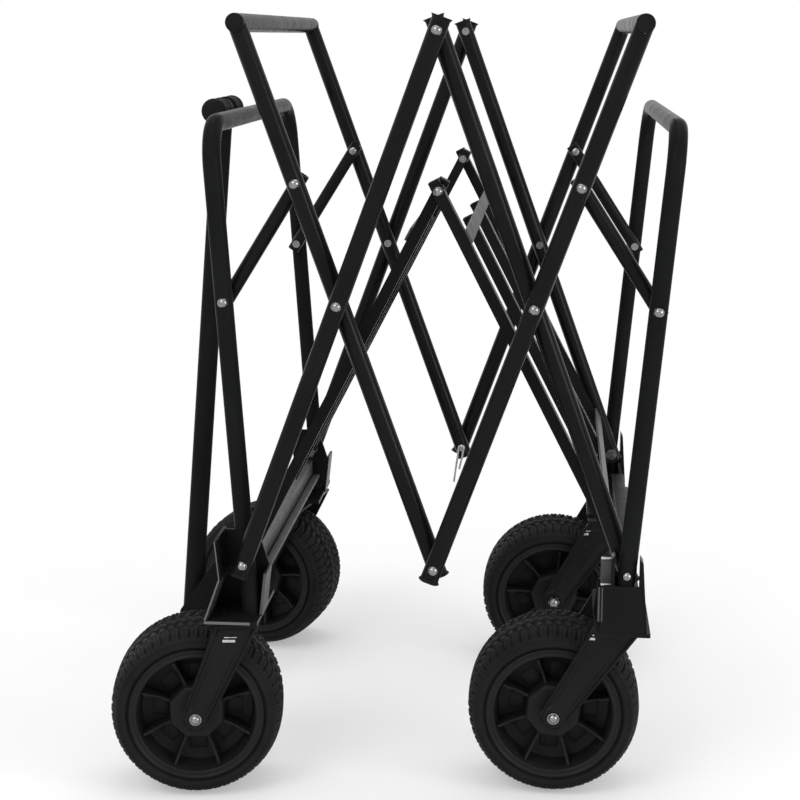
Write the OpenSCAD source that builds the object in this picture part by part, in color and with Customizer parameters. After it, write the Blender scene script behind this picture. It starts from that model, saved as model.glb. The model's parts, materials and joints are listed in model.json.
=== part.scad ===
// Folding camp wagon, bare frame, standing half folded on its four wheels.
// X runs along the length with the handle end at -X, Y runs across, Z is up, and the ground is Z = 0.
// "Near" means the -Y side and "far" the +Y side.

/* [Scissor] */
// Crossing pivot to centre pivot, and crossing pivot to corner pivot
arm = 275; // [240:1:310]
// Crossing pivot to top rail
top_arm = 282; // [278:1:300]
// Crossing pivot to end link pivot
link_arm = 122; // [100:1:140]
// Lean of every scissor rod from upright, as the wagon stands
fold_angle = 20; // [16:0.5:30]
// Height of the corner pivots and of the low centre pivot
pivot_z = 250; // [245:1:270]
// Half the distance between the middles of the two scissor sides
half_width = 270; // [240:1:290]

/* [Tubes] */
// Outside diameter of rods, end frames and rails
tube_d = 18; // [16:0.5:20]
// Tube wall thickness
tube_wall = 1.5; // [1.2:0.1:2]
// Depth of the pressed flats at the pivots
flat_depth = 0.7; // [0.4:0.1:0.9]
// Clear space between two tubes side by side
layer_gap = 1; // [0.8:0.1:2]
// Tube length past a pivot
tube_tail = 9; // [8:1:14]
// Plug length past the tube end
plug_len = 4.4; // [3:0.2:5]
// Outside diameter of the end links
link_d = 14; // [12:0.5:16]

/* [End frames] */
// Lean of the front legs from upright
front_lean = 4.1; // [2:0.1:5]
// Lean of the rear legs from upright
rear_lean = 5; // [2:0.1:6]
// Corner pivot up to the link pivot
link_h = 258; // [240:1:275]
// Corner pivot up to the cross bar
frame_h = 428; // [410:1:450]
// Bend radius of the top corners
corner_r = 42; // [30:1:60]

/* [Floor] */
// Floor hinge height above the corner pivots
floor_h = 366; // [340:1:390]
// Thickness of a floor bar
bar_t = 11; // [9:0.5:13]
// Width of a floor bar
bar_w = 18; // [14:0.5:18]
// Width of the cross strips
strip_w = 14; // [10:1:24]
// Thickness of the cross strips
strip_t = 2.5; // [1.5:0.5:3]
// Cross strip distance from the bar ends
strip_inset = 52; // [45:1:90]

/* [Wheels] */
// Tyre radius
tyre_r = 88; // [84:1:94]
// Tyre width
tyre_w = 96; // [84:1:98]
// Radius of the tyre seat on the rim
seat_r = 64; // [60:1:66]
// Number of ribs in a rim
rib_count = 8; // [6:1:12]
// Front wheel middle, across
front_track = 224; // [220:1:228]
// Rear wheel middle, across
rear_track = 193; // [186:1:198]
// Caster trail, kingpin to axle
trail = 42; // [36:1:46]
// Turn of the near caster from straight ahead, as the wagon stands
near_turn = 8; // [-11:1:11]
// Turn of the far caster from straight ahead, as the wagon stands
far_turn = -11; // [-11:1:11]
// Kingpin distance outside the corner pivot
king_out = 16; // [12:1:20]
// Rear axle distance inside the corner pivot
rear_axle_in = 68; // [60:1:74]
// Axle diameter
axle_d = 8; // [6:0.5:10]

/* [Handle] */
// Handle pivot distance ahead of the corner pivot
handle_out = 110; // [105:1:120]
// Handle pivot height
handle_z = 100; // [80:1:120]
// Handle pivot to grip
handle_len = 584; // [560:1:600]
// Inward lean of the handle
handle_lean = 4.5; // [4:0.1:4.8]
// Handle tube diameter
handle_d = 22; // [20:0.5:23]
// Grip length
grip_len = 112; // [100:1:130]
// Grip diameter
grip_d = 27; // [25:0.5:30]

/* [Rivets] */
// Rivet shank diameter
rivet_d = 6; // [5:0.5:8]
// Rivet head diameter
rivet_head_d = 10; // [9:0.5:13]
// Corner bolt shank diameter
bolt_d = 8; // [6:0.5:10]
// Radial play on every turning pin
play = 0.05; // [0.03:0.01:0.08]

/* [View] */
// Sub-part to draw

/* [Hidden] */
$fn = 48;
FRONT = -1;
REAR = 1;
NEAR = -1;
FAR = 1;
run_gap = 0.3;
weld_gap = 0.1;
sn = sin(fold_angle);
cs = cos(fold_angle);
pitch = tube_d + layer_gap;
// Four side by side layers, counted from the outside
y_1 = half_width + pitch / 2;
y_2 = half_width - pitch / 2;
y_3 = y_2 - pitch;
y_4 = y_3 - pitch;
flat_half = tube_d / 2 - flat_depth;
link_half = link_d / 2 - flat_depth;
bar_half = bar_w / 2;
flat_len = 30;
corner_x = 2 * arm * sn;
king_x = corner_x + king_out;
rear_axle_x = corner_x - rear_axle_in;
axle_z = tyre_r;
floor_len = norm([corner_x, floor_h]);
floor_angle = atan2(corner_x, floor_h);
rear_top_x = corner_x + frame_h * tan(rear_lean);
// Corner brackets and forks
foot_t = 4;
foot_w = 54;
foot_in = 42;
foot_rise = 14;
foot_z = 2 * tyre_r + foot_rise;
foot_top = foot_z + foot_t;
cheek_t = 3;
weld_sink = 1;
web_y = y_4 + bar_half + 2;
// The brackets' outer faces stand just outside the outermost rods
face_t = 2.5;
face_in = y_1 + tube_d / 2 + 2 * run_gap;
face_out = face_in + face_t;
bracket_top = pivot_z + 25;
race_h = 3;
nut_h = 5;
front_crown_z = foot_z - race_h - run_gap;
fork_gap = tyre_w / 2 + 5;
fork_t = 4;
crown_t = 4;
front_crown_w = 44;
rear_crown_w = 52;
arm_end_r = 14;
fork_half_w = fork_gap + fork_t;
washer_d = 12;
washer_t = 1.5;
axle_head_d = 10;
axle_head_h = 3.5;
axle_nut_d = 14;
axle_nut_h = 6;
king_d = 12;
race_d = 40;
king_head_h = 4;
king_low = front_crown_z - crown_t - run_gap - king_head_h;
king_top = foot_top + nut_h;
// Rim
rim_half = tyre_w / 2 - 5;
lip_r = seat_r + 5;
lip_t = 3.5;
hub_r = 17;
hub_half = tyre_w / 2 + 1;
rib_half = tyre_w / 2 - 16;
// Tread
groove_depth = 2;
groove_w = 3;
groove_at = [9, 22];
// Beams
beam_w = 14;
beam_h = 20;
beam_wall = 2;
beam_rise = 20;
beam_low = foot_top + beam_rise;
beam_top = beam_low + beam_h;
ledge_w = 10;
ledge_t = 3;
// Shift that puts the whole wagon's box over the origin
front_reach = king_x + max(turned_reach(near_turn), turned_reach(far_turn));
x_shift = (front_reach - (rear_top_x + tube_d / 2)) / 2;
// Handle
yoke_half = handle_d / 2 + 2;
yoke_t = 4;

// Places in the X-Z plane; end is FRONT or REAR

function low_centre() = [0, pivot_z];
function high_centre() = [0, pivot_z + 2 * arm * cs];
function crossing(end) = [end * arm * sn, pivot_z + arm * cs];
function corner(end) = [end * corner_x, pivot_z];
function rail_at(end) = [end * (arm + top_arm) * sn, pivot_z + (arm + top_arm) * cs];
function link_high(end) = [end * (arm + link_arm) * sn, pivot_z + (arm + link_arm) * cs];
function lean(end) = end == FRONT ? front_lean : rear_lean;
function leg_at(end, h) = corner(end) + [end * h * tan(lean(end)), h];
function floor_hinge() = [0, pivot_z + floor_h];
function leg_y(end) = end == FRONT ? y_2 : y_1;
function handle_foot() = [-(corner_x + handle_out), handle_z];
function grip_at() = handle_foot() + handle_len * [sin(handle_lean), cos(handle_lean)];
function heading(p, q) = atan2(q[0] - p[0], q[1] - p[1]);

// Outer half of the tyre's section as [radius, across], from one bead over the tread to the other
function tyre_side(side) = [[seat_r, side * rim_half], [lip_r + 1, side * rim_half],
  [lip_r + 5, side * (tyre_w / 2 - 1.2)], [lip_r + 10, side * tyre_w / 2], [tyre_r - 6, side * (tyre_w / 2 - 2.5)],
  [tyre_r - 2, side * (tyre_w / 2 - 9)], [tyre_r, side * (tyre_w / 2 - 20)]];
function tread_grooves() = [for (g = [-groove_at[1], -groove_at[0], groove_at[0], groove_at[1]],
  s = [[-1, 0], [-0.7, 1], [0.7, 1], [1, 0]]) [tyre_r - s[1] * groove_depth, g + s[0] * groove_w / 2]];
function reversed(list) = [for (i = [len(list) - 1 : -1 : 0]) list[i]];
// Furthest forward point of a caster wheel from its kingpin, at a turn
function turned_reach(turn) = trail * cos(turn)
  + max([for (p = tyre_side(FAR)) p[0] * cos(turn) + p[1] * sin(abs(turn))]);

// Building blocks

module placed() {
  translate([x_shift, 0, 0]) children();
}

// Stands a shape, drawn up its own Z axis, at p and points it at q
module along(p, q, y) {
  translate([p[0], y, p[1]]) rotate([0, heading(p, q), 0]) children();
}

// Draws a shape, made along its own Z axis, at p with that axis pointing outwards on the given side
module across(p, side, y) {
  translate([p[0], side * y, p[1]]) rotate([-side * 90, 0, 0]) children();
}

// A plate with its outline in the X-Z plane, from y0 to y1
module plate(points, y0, y1) {
  translate([0, y1, 0]) rotate([90, 0, 0]) linear_extrude(y1 - y0) polygon(points);
}

module on_side(side) {
  mirror([0, side == FAR ? 0 : 1, 0]) children();
}

module dome(r, h) {
  ball = (r * r + h * h) / (2 * h);
  intersection() {
    translate([0, 0, h - ball]) sphere(r = ball);
    cylinder(h = h, r = r);
  }
}

// Running hole along Y for a pin of diameter d
module cross_hole(d, length) {
  rotate([90, 0, 0]) cylinder(h = length, d = d + 2 * play, center = true);
}

// Pressed flats across a tube at height h up its own axis, with a pin hole unless hole is 0
module pivot_cut(h, d, hole) {
  for (side = [NEAR, FAR])
    translate([0, side * (d / 2 - flat_depth + 2), h])
      cube([d, 4, flat_len], center = true);
  if (hole > 0) translate([0, 0, h]) cross_hole(hole, 2 * d);
}

// Straight tube from p to q with tails, and pivots at distances from p given as [distance, hole]
module tube_rod(p, q, y, tail_p, tail_q, pivots, d) {
  span = norm(q - p) + tail_p + tail_q;
  along(p, q, y) difference() {
    translate([0, 0, -tail_p]) cylinder(h = span, d = d);
    translate([0, 0, -tail_p - 1]) cylinder(h = span + 2, d = d - 2 * tube_wall);
    for (pivot = pivots) pivot_cut(pivot[0], d, pivot[1]);
  }
}

// Plug in the end of a tube, flared in the plane of the scissors and held to its own layer across it;
// drawn with the tube end at Z = 0 and the tube below it
module end_plug(d) {
  flare = 1.6;
  half = d / 2 + 0.3;
  intersection() {
    cylinder(h = plug_len, d1 = d, d2 = d + 2 * flare);
    translate([-d, -half, -1]) cube([2 * d, 2 * half, plug_len + 2]);
  }
  translate([0, 0, -4]) cylinder(h = 4.01, d = d - 2 * tube_wall);
}

// Rivet through two layers; Z points outwards and Z = 0 is half way between the layers
module rivet(outer_half, inner_half, d, head_d) {
  top = pitch / 2 + outer_half;
  low = pitch / 2 + inner_half + run_gap;
  space = pitch - outer_half - inner_half;
  tail_h = 1.2;
  translate([0, 0, top]) dome(head_d / 2, head_d * 0.32);
  translate([0, 0, -low - 0.01]) cylinder(h = top + low + 0.02, d = d);
  collar_mid = (inner_half - outer_half) / 2;
  translate([0, 0, collar_mid - space / 2 + run_gap]) cylinder(h = space - 2 * run_gap, d = d + 7);
  translate([0, 0, -low - tail_h]) difference() {
    cylinder(h = tail_h, d = d + 3);
    translate([0, 0, -0.1]) cylinder(h = tail_h / 2, d = d - 1.5);
  }
}

// Rivet through one tube only
module short_rivet(half, d, head_d) {
  translate([0, 0, half]) dome(head_d / 2, head_d * 0.32);
  translate([0, 0, -half]) cylinder(h = 2 * half + 0.01, d = d);
  translate([0, 0, -half - 1]) cylinder(h = 1.01, d = d + 3);
}

// Scissor rods

module low_rod(end, side) {
  y = end == FRONT ? y_1 : y_2;
  tube_rod(corner(end), high_centre(), side * y, tube_tail, tube_tail,
    [[0, bolt_d], [arm, rivet_d], [2 * arm, rivet_d]], tube_d);
}

module low_plugs(end) {
  y = end == FRONT ? y_1 : y_2;
  for (side = [NEAR, FAR]) {
    along(corner(end), high_centre(), side * y) {
      translate([0, 0, 2 * arm + tube_tail]) end_plug(tube_d);
      translate([0, 0, -tube_tail]) rotate([180, 0, 0]) end_plug(tube_d);
    }
  }
}

module up_rod(end, side) {
  y = end == FRONT ? y_2 : y_1;
  difference() {
    tube_rod(low_centre(), rail_at(end), side * y, tube_tail, 0,
      [[0, rivet_d], [arm, rivet_d], [arm + link_arm, rivet_d]], tube_d);
    across(rail_at(end), FAR, -2 * y) cylinder(h = 4 * y, d = tube_d + 2 * weld_gap);
  }
}

module rail(end) {
  half = (end == FRONT ? y_2 : y_1) + tube_d / 2;
  across(rail_at(end), FAR, -half) difference() {
    cylinder(h = 2 * half, d = tube_d);
    translate([0, 0, -1]) cylinder(h = 2 * half + 2, d = tube_d - 2 * tube_wall);
  }
}

module up_plugs(end) {
  y = end == FRONT ? y_2 : y_1;
  for (side = [NEAR, FAR]) {
    along(low_centre(), rail_at(end), side * y)
      translate([0, 0, -tube_tail]) rotate([180, 0, 0]) end_plug(tube_d);
    across(rail_at(end), side, y + tube_d / 2) {
      dome(tube_d / 2, 2.5);
      translate([0, 0, -4]) cylinder(h = 4.01, d = tube_d - 2 * tube_wall);
    }
  }
}

module layer_rivets(p, outer_half, inner_half, y_outer) {
  for (side = [NEAR, FAR])
    across(p, side, y_outer - pitch / 2) rivet(outer_half, inner_half, rivet_d, rivet_head_d);
}

// Rivets that an upper rod carries for the top of its end link
module link_top_rivets(end, y) {
  for (side = [NEAR, FAR])
    across(link_high(end), side, y) short_rivet(flat_half, rivet_d, rivet_head_d);
}

module front_low_rod_near() { color("#1c1c1f") placed() low_rod(FRONT, NEAR); }
module front_low_rod_far() { color("#1c1c1f") placed() low_rod(FRONT, FAR); }
module front_low_plugs() { color("#101012") placed() low_plugs(FRONT); }
module front_low_rivets() {
  color("#c0c0c4") placed() {
    layer_rivets(crossing(FRONT), flat_half, flat_half, y_1);
    layer_rivets(high_centre(), flat_half, flat_half, y_1);
  }
}

module front_up_rod_near() { color("#1c1c1f") placed() up_rod(FRONT, NEAR); }
module front_up_rod_far() { color("#1c1c1f") placed() up_rod(FRONT, FAR); }
module front_rail() { color("#1c1c1f") placed() rail(FRONT); }
module front_up_plugs() { color("#101012") placed() up_plugs(FRONT); }
module front_up_rivets() {
  color("#c0c0c4") placed() link_top_rivets(FRONT, y_2);
}

module rear_low_rod_near() { color("#1c1c1f") placed() low_rod(REAR, NEAR); }
module rear_low_rod_far() { color("#1c1c1f") placed() low_rod(REAR, FAR); }
module rear_low_plugs() { color("#101012") placed() low_plugs(REAR); }

module rear_up_rod_near() { color("#1c1c1f") placed() up_rod(REAR, NEAR); }
module rear_up_rod_far() { color("#1c1c1f") placed() up_rod(REAR, FAR); }
module rear_rail() { color("#1c1c1f") placed() rail(REAR); }
module rear_up_plugs() { color("#101012") placed() up_plugs(REAR); }
module rear_up_rivets() {
  color("#c0c0c4") placed() {
    layer_rivets(crossing(REAR), flat_half, flat_half, y_1);
    layer_rivets(low_centre(), flat_half, flat_half, y_1);
    link_top_rivets(REAR, y_1);
  }
}

// End frames

// Solid bent bar that follows an end frame, from its foot at low_z over the top and down the other side
module frame_path(end, d, low_z) {
  y = leg_y(end);
  rise = frame_h / cos(lean(end));
  foot = (low_z - pivot_z) / cos(lean(end));
  translate([end * corner_x, 0, pivot_z]) rotate([0, end * lean(end), 0]) {
    for (side = [NEAR, FAR]) {
      translate([0, side * y, rise - corner_r]) mirror([0, 0, 1]) cylinder(h = rise - corner_r - foot, d = d);
      on_side(side) translate([0, y - corner_r, rise - corner_r]) rotate([90, 0, 90])
        rotate_extrude(angle = 90) translate([corner_r, 0]) circle(d = d);
    }
    translate([0, y - corner_r, rise]) rotate([90, 0, 0]) cylinder(h = 2 * (y - corner_r), d = d);
  }
}

// Bent tube whose legs are cut level at the given height
module end_frame(end, level) {
  y = leg_y(end);
  spare = tube_d / 2;
  difference() {
    frame_path(end, tube_d, level - spare);
    frame_path(end, tube_d - 2 * tube_wall, level - spare - 1);
    translate([end * corner_x - 2 * tube_d, -2 * y, level - 2 * tube_d]) cube([4 * tube_d, 4 * y, 2 * tube_d]);
    for (side = [NEAR, FAR]) along(corner(end), leg_at(end, frame_h), side * y) {
      pivot_cut(0, tube_d, bolt_d);
      pivot_cut(link_h / cos(lean(end)), tube_d, rivet_d);
    }
  }
}

// X of a leg's inner edge at height z, with a weld gap
function leg_edge(end, z) = leg_at(end, z - pivot_z)[0] - end * (tube_d / 2 / cos(lean(end)) + run_gap);

// Front corner: a channel open to the outside, of two cheeks and a back web on a foot plate, behind the leg
module front_bracket(side) {
  x = -corner_x;
  low = foot_top - weld_sink;
  web_low = foot_top + nut_h + 2;
  knee = pivot_z - 14;
  right_top = pivot_z - 12;
  near_x = x - king_d - 9;
  flare = 15;
  top_lean = 4;
  mid = cheek_t / 2;
  left = [[near_x - flare - cheek_t, low], [near_x - flare, low], [near_x, knee],
    [near_x - top_lean, bracket_top], [near_x - top_lean - cheek_t, bracket_top], [near_x - cheek_t, knee]];
  right = [[leg_edge(FRONT, low), low], [leg_edge(FRONT, low) + cheek_t, low],
    [leg_edge(FRONT, low) + cheek_t + 5, right_top], [leg_edge(FRONT, low) + 5, right_top]];
  web = [[near_x - mid - flare * (knee - web_low) / (knee - low), web_low],
    [leg_edge(FRONT, low) + mid + 5 * (web_low - low) / (right_top - low), web_low],
    [leg_edge(FRONT, low) + mid + 5 * (right_top - 2 - low) / (right_top - low), right_top - 2],
    [leg_edge(FRONT, bracket_top), bracket_top - 2], [near_x - mid - top_lean, bracket_top - 2],
    [near_x - mid, knee]];
  foot_y = front_track - foot_in;
  on_side(side) difference() {
    union() {
      plate(left, web_y, face_out);
      plate(right, web_y, y_2 + flat_half - 0.5);
      plate(web, web_y, web_y + cheek_t);
      translate([-king_x - foot_w / 2 + 4, foot_y, foot_z]) cube([foot_w, face_out + 0.4 - foot_y, foot_t]);
    }
    translate([-king_x, front_track, foot_z - 1]) cylinder(h = foot_t + 2, d = king_d);
    across(corner(FRONT), FAR, web_y - 5) cylinder(h = cheek_t + 10, d = bolt_d + 2 * play);
  }
}

// Rear corner: cheeks and an outer face by the leg, and a low pedestal under the rod and floor bar ends
module rear_bracket(side) {
  x = corner_x;
  low = foot_top - weld_sink;
  seat = pivot_z - 18;
  inner = x - 15;
  outer = x + tube_d / 2 + 3.5;
  spread = 5;
  mid = cheek_t / 2;
  fin_x = x - 30;
  cheek_top = pivot_z + 18;
  face_top = pivot_z - 9;
  left = [[inner, low], [inner + cheek_t, low], [inner + cheek_t, cheek_top + 4], [inner, cheek_top]];
  right = [[outer, low], [outer + cheek_t + spread, low], [outer + cheek_t, cheek_top - 4], [outer, cheek_top]];
  fin = [[fin_x, low], [inner + mid, low], [inner + mid, seat], [fin_x + 4, seat - 4]];
  back = [[inner, low], [outer, low], [outer, seat], [inner, seat]];
  front_wall = [[inner, low], [inner + cheek_t, low], [inner + cheek_t, seat], [inner, seat]];
  rear_wall = [[outer - cheek_t, low], [outer, low], [outer, seat], [outer - cheek_t, seat]];
  face = [[x - 25, low], [outer + mid + spread, low], [outer + mid, face_top], [x - 25, face_top]];
  near_y = y_1 - flat_half + 0.5;
  back_y = rear_track + 4;
  fin_y = back_y + 26;
  foot_y = rear_track - foot_in;
  on_side(side) difference() {
    union() {
      plate(left, near_y, face_in + face_t / 2);
      plate(right, near_y, face_in + face_t / 2);
      plate(back, back_y, back_y + cheek_t);
      plate(front_wall, back_y, near_y + weld_sink);
      plate(rear_wall, back_y, near_y - 4);
      plate(fin, fin_y, fin_y + cheek_t);
      plate(face, face_in, face_out);
      translate([fin_x, foot_y, foot_z]) cube([foot_w, face_out + 0.4 - foot_y, foot_t]);
    }
    along(corner(REAR), leg_at(REAR, frame_h), y_1) translate([0, 0, -80]) cylinder(h = 160, d = tube_d);
  }
}

// Hollow cross beam between the two brackets of an end, with a lower ledge along its inner face
module cross_beam(end, half) {
  outer_x = end == FRONT ? -corner_x - beam_w : corner_x;
  bore = [beam_w - 2 * beam_wall, 2 * half + 2, beam_h - 2 * beam_wall];
  translate([outer_x, -half, beam_low]) difference() {
    cube([beam_w, 2 * half, beam_h]);
    translate([beam_wall, -1, beam_wall]) cube(bore);
  }
  ledge_x = end == FRONT ? -corner_x - weld_sink : corner_x - ledge_w;
  translate([ledge_x, -half + 6, beam_low]) cube([ledge_w + weld_sink, 2 * half - 12, ledge_t]);
}

module front_frame() { color("#1c1c1f") placed() end_frame(FRONT, foot_top + weld_gap); }
module rear_frame() { color("#1c1c1f") placed() end_frame(REAR, foot_z + foot_t / 2); }
module front_bracket_near() { color("#26262a") placed() front_bracket(NEAR); }
module front_bracket_far() { color("#26262a") placed() front_bracket(FAR); }
module rear_bracket_near() { color("#26262a") placed() rear_bracket(NEAR); }
module rear_bracket_far() { color("#26262a") placed() rear_bracket(FAR); }
module front_beam() { color("#6d6d68") placed() cross_beam(FRONT, web_y); }
module rear_beam() { color("#2a2a2e") placed() cross_beam(REAR, rear_track + 4); }

// Corner bolts and the rivets that carry the end links
module front_bolts() {
  tip = y_4 - bar_half - run_gap;
  spacer = y_4 + bar_half + run_gap;
  head = y_1 + flat_half + run_gap;
  color("#c0c0c4") placed() {
    for (side = [NEAR, FAR]) across(corner(FRONT), side, 0) {
      translate([0, 0, head]) dome(rivet_head_d / 2, 4);
      translate([0, 0, tip]) cylinder(h = head - tip + 0.01, d = bolt_d);
      translate([0, 0, y_2 + flat_half]) cylinder(h = pitch - 2 * flat_half - run_gap, d = bolt_d + 6);
      translate([0, 0, spacer]) cylinder(h = web_y - spacer, d = bolt_d + 6);
      translate([0, 0, tip - nut_h]) cylinder(h = nut_h + 0.01, d = bolt_d + 6, $fn = 6);
    }
    layer_rivets(leg_at(FRONT, link_h), flat_half, link_half, y_2);
  }
}

module rear_bolts() {
  tip = -pitch / 2 - flat_half - run_gap;
  head = pitch / 2 + flat_half;
  color("#c0c0c4") placed() {
    for (side = [NEAR, FAR]) across(corner(REAR), side, half_width) {
      translate([0, 0, head]) dome(rivet_head_d / 2, 4);
      translate([0, 0, tip]) cylinder(h = head - tip + 0.01, d = bolt_d);
      translate([0, 0, run_gap - head + 2 * flat_half])
        cylinder(h = pitch - 2 * flat_half - run_gap, d = bolt_d + 6);
      translate([0, 0, tip - 0.8]) cylinder(h = 0.81, d = bolt_d + 4);
    }
    layer_rivets(leg_at(REAR, link_h), flat_half, link_half, y_1);
  }
}

// End links

module end_links(end) {
  low = leg_at(end, link_h);
  high = link_high(end);
  y = leg_y(end) - pitch;
  for (side = [NEAR, FAR]) {
    tube_rod(low, high, side * y, tube_tail, tube_tail,
      [[0, rivet_d], [norm(high - low), 0]], link_d);
    across(high, side, y) {
      translate([0, 0, -link_half - 1.2]) cylinder(h = 1.4, d = rivet_d + 3);
      translate([0, 0, link_half - 0.2]) cylinder(h = 1.2, d = rivet_d + 3);
    }
  }
}

module front_links() { color("#1c1c1f") placed() end_links(FRONT); }
module rear_links() { color("#1c1c1f") placed() end_links(REAR); }

// Floor halves, drawn flat with the corner end at the origin and the hinge end up Z, then leaned

function side_bar_y(end) = end == FRONT ? y_4 : y_3;

module floor_half(end) {
  translate([end * corner_x, 0, pivot_z]) rotate([0, -end * floor_angle, 0]) children();
}

module floor_bar(y, from, to) {
  bore = [bar_t - 2 * tube_wall, bar_w - 2 * tube_wall, to - from + 2];
  translate([-bar_t / 2, y - bar_half, from]) difference() {
    cube([bar_t, bar_w, to - from]);
    translate([tube_wall, tube_wall, -1]) cube(bore);
  }
}

module floor_bars(end) {
  y = side_bar_y(end);
  floor_half(end) {
    for (side = [NEAR, FAR]) {
      difference() {
        floor_bar(side * y, -7, floor_len + 7);
        for (h = [[0, bolt_d], [floor_len, rivet_d]])
          translate([0, side * y, h[0]]) cross_hole(h[1], 2 * bar_w);
      }
      floor_bar(side * y / 3, strip_inset - strip_w / 2, floor_len - strip_inset + strip_w / 2);
    }
  }
}

// Cross strips lie on the face that is the top of the floor when the wagon is open
module floor_strips(end) {
  y = side_bar_y(end);
  floor_half(end)
    for (h = [strip_inset, floor_len - strip_inset])
      translate([end == REAR ? bar_t / 2 : -bar_t / 2 - strip_t, -y - bar_half + 1, h - strip_w / 2])
        cube([strip_t, 2 * (y + bar_half - 1), strip_w]);
}

module floor_plugs(end) {
  y = side_bar_y(end);
  floor_half(end)
    for (side = [NEAR, FAR], tip = [0, 1])
      translate([0, side * y, tip * floor_len]) rotate([tip == 0 ? 180 : 0, 0, 0]) translate([0, 0, 7]) {
        translate([-bar_t / 2, -bar_half, 0]) cube([bar_t, bar_w, 4]);
        translate([-bar_t / 2 + tube_wall, -bar_half + tube_wall, -2])
          cube([bar_t - 2 * tube_wall, bar_w - 2 * tube_wall, 2.01]);
      }
}

module floor_front_bars() { color("#222226") placed() floor_bars(FRONT); }
module floor_front_strips() { color("#8a8a84") placed() floor_strips(FRONT); }
module floor_front_plugs() { color("#101012") placed() floor_plugs(FRONT); }
module floor_rear_bars() { color("#222226") placed() floor_bars(REAR); }
module floor_rear_strips() { color("#8a8a84") placed() floor_strips(REAR); }
module floor_rear_plugs() { color("#101012") placed() floor_plugs(REAR); }
module floor_rear_rivets() {
  color("#c0c0c4") placed() {
    layer_rivets(floor_hinge(), bar_half, bar_half, y_3);
    for (side = [NEAR, FAR]) across(corner(REAR), side, y_3) {
      translate([0, 0, -bar_half - 1.5]) cylinder(h = 1.51, d = bolt_d + 5);
      translate([0, 0, -bar_half]) cylinder(h = 2 * bar_half, d = bolt_d);
    }
  }
}

// Forks and wheels

// Fork with its crown plate on top; top_mid is the middle of the crown, axle the wheel's centre
module fork(top_mid, axle, crown_w, hole_d) {
  crown_low = top_mid[1] - crown_t;
  run = (axle - top_mid) / norm(axle - top_mid);
  normal = [-run[1], run[0]];
  end_r = arm_end_r;
  outline = [[top_mid[0] - crown_w / 2, crown_low + 0.01], axle - end_r * normal, axle + end_r * normal,
    [top_mid[0] + crown_w / 2, crown_low + 0.01]];
  inset = 6;
  panel_low = axle - run * 30;
  panel = [[top_mid[0] - crown_w / 2 + inset, crown_low - 8], panel_low - (end_r - inset) * normal,
    panel_low + (end_r - inset) * normal, [top_mid[0] + crown_w / 2 - inset, crown_low - 8]];
  difference() {
    union() {
      for (face = [-1, 1]) mirror([0, face == 1 ? 0 : 1, 0]) {
        plate(outline, fork_gap, fork_gap + fork_t);
        translate([axle[0], fork_gap, axle[1]]) rotate([-90, 0, 0]) cylinder(h = fork_t, r = end_r);
      }
      translate([top_mid[0] - crown_w / 2, -fork_half_w, crown_low])
        cube([crown_w, 2 * fork_half_w, crown_t]);
    }
    for (face = [-1, 1]) mirror([0, face == 1 ? 0 : 1, 0]) plate(panel, fork_half_w - 1.6, fork_half_w + 1);
    translate([axle[0], 0, axle[1]]) cross_hole(axle_d, 4 * fork_half_w);
    if (hole_d > 0) translate([top_mid[0], 0, crown_low - 1]) cylinder(h = crown_t + 2, d = hole_d);
  }
}

module axle_bolt(x, y, side) {
  translate([x, y, axle_z]) rotate([-side * 90, 0, 0]) {
    translate([0, 0, -fork_half_w - axle_nut_h - 2])
      cylinder(h = 2 * fork_half_w + axle_nut_h + 2.01, d = axle_d);
    translate([0, 0, fork_half_w]) cylinder(h = washer_t, d = washer_d);
    translate([0, 0, fork_half_w + washer_t - 0.01]) dome(axle_head_d / 2, axle_head_h);
    translate([0, 0, -fork_half_w - axle_nut_h]) cylinder(h = axle_nut_h, d = axle_nut_d, $fn = 6);
  }
}

module rim(x, y) {
  translate([x, y, axle_z]) rotate([90, 0, 0]) {
    rotate_extrude() polygon([[seat_r - 4, -rim_half - lip_t], [lip_r, -rim_half - lip_t],
      [lip_r, -rim_half], [seat_r, -rim_half], [seat_r, rim_half], [lip_r, rim_half],
      [lip_r, rim_half + lip_t], [seat_r - 4, rim_half + lip_t]]);
    difference() {
      union() {
        rotate_extrude() polygon([[hub_r - 1, -5], [seat_r - 3, -9], [seat_r - 3, 9], [hub_r - 1, 5]]);
        cylinder(h = 2 * hub_half, r = hub_r, center = true);
      }
      cylinder(h = 3 * hub_half, d = axle_d + 2 * play, center = true);
    }
    for (i = [0 : rib_count - 1])
      rotate([0, 0, (i + 0.5) * 360 / rib_count + 90])
        translate([hub_r - 2, -2.5, -rib_half]) cube([seat_r - hub_r - 1, 5, 2 * rib_half]);
  }
}

// Hollow tyre, open towards the rim, with grooves round its tread
module tyre(x, y) {
  half = tyre_w / 2;
  wall = 9;
  outside = concat(tyre_side(NEAR), tread_grooves(), reversed(tyre_side(FAR)));
  inside = [[seat_r, rim_half - wall], [lip_r + 6, half - wall], [tyre_r - wall - 2, half - wall - 6],
    [tyre_r - wall - 2, -half + wall + 6], [lip_r + 6, -half + wall], [seat_r, -rim_half + wall]];
  translate([x, y, axle_z]) rotate([90, 0, 0])
    rotate_extrude($fn = 96) polygon(concat(outside, inside));
}

// Turns what a caster carries, drawn with its kingpin over the origin
module caster(side) {
  translate([-king_x, side * front_track, 0]) rotate([0, 0, side == NEAR ? near_turn : far_turn]) children();
}

module caster_fork() {
  fork([0, front_crown_z], [-trail, axle_z], front_crown_w, king_d + 2 * play);
}

module rear_fork(side) {
  translate([0, side * rear_track, 0]) fork([corner_x - 3, foot_z], [rear_axle_x, axle_z], rear_crown_w, 0);
}

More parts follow.
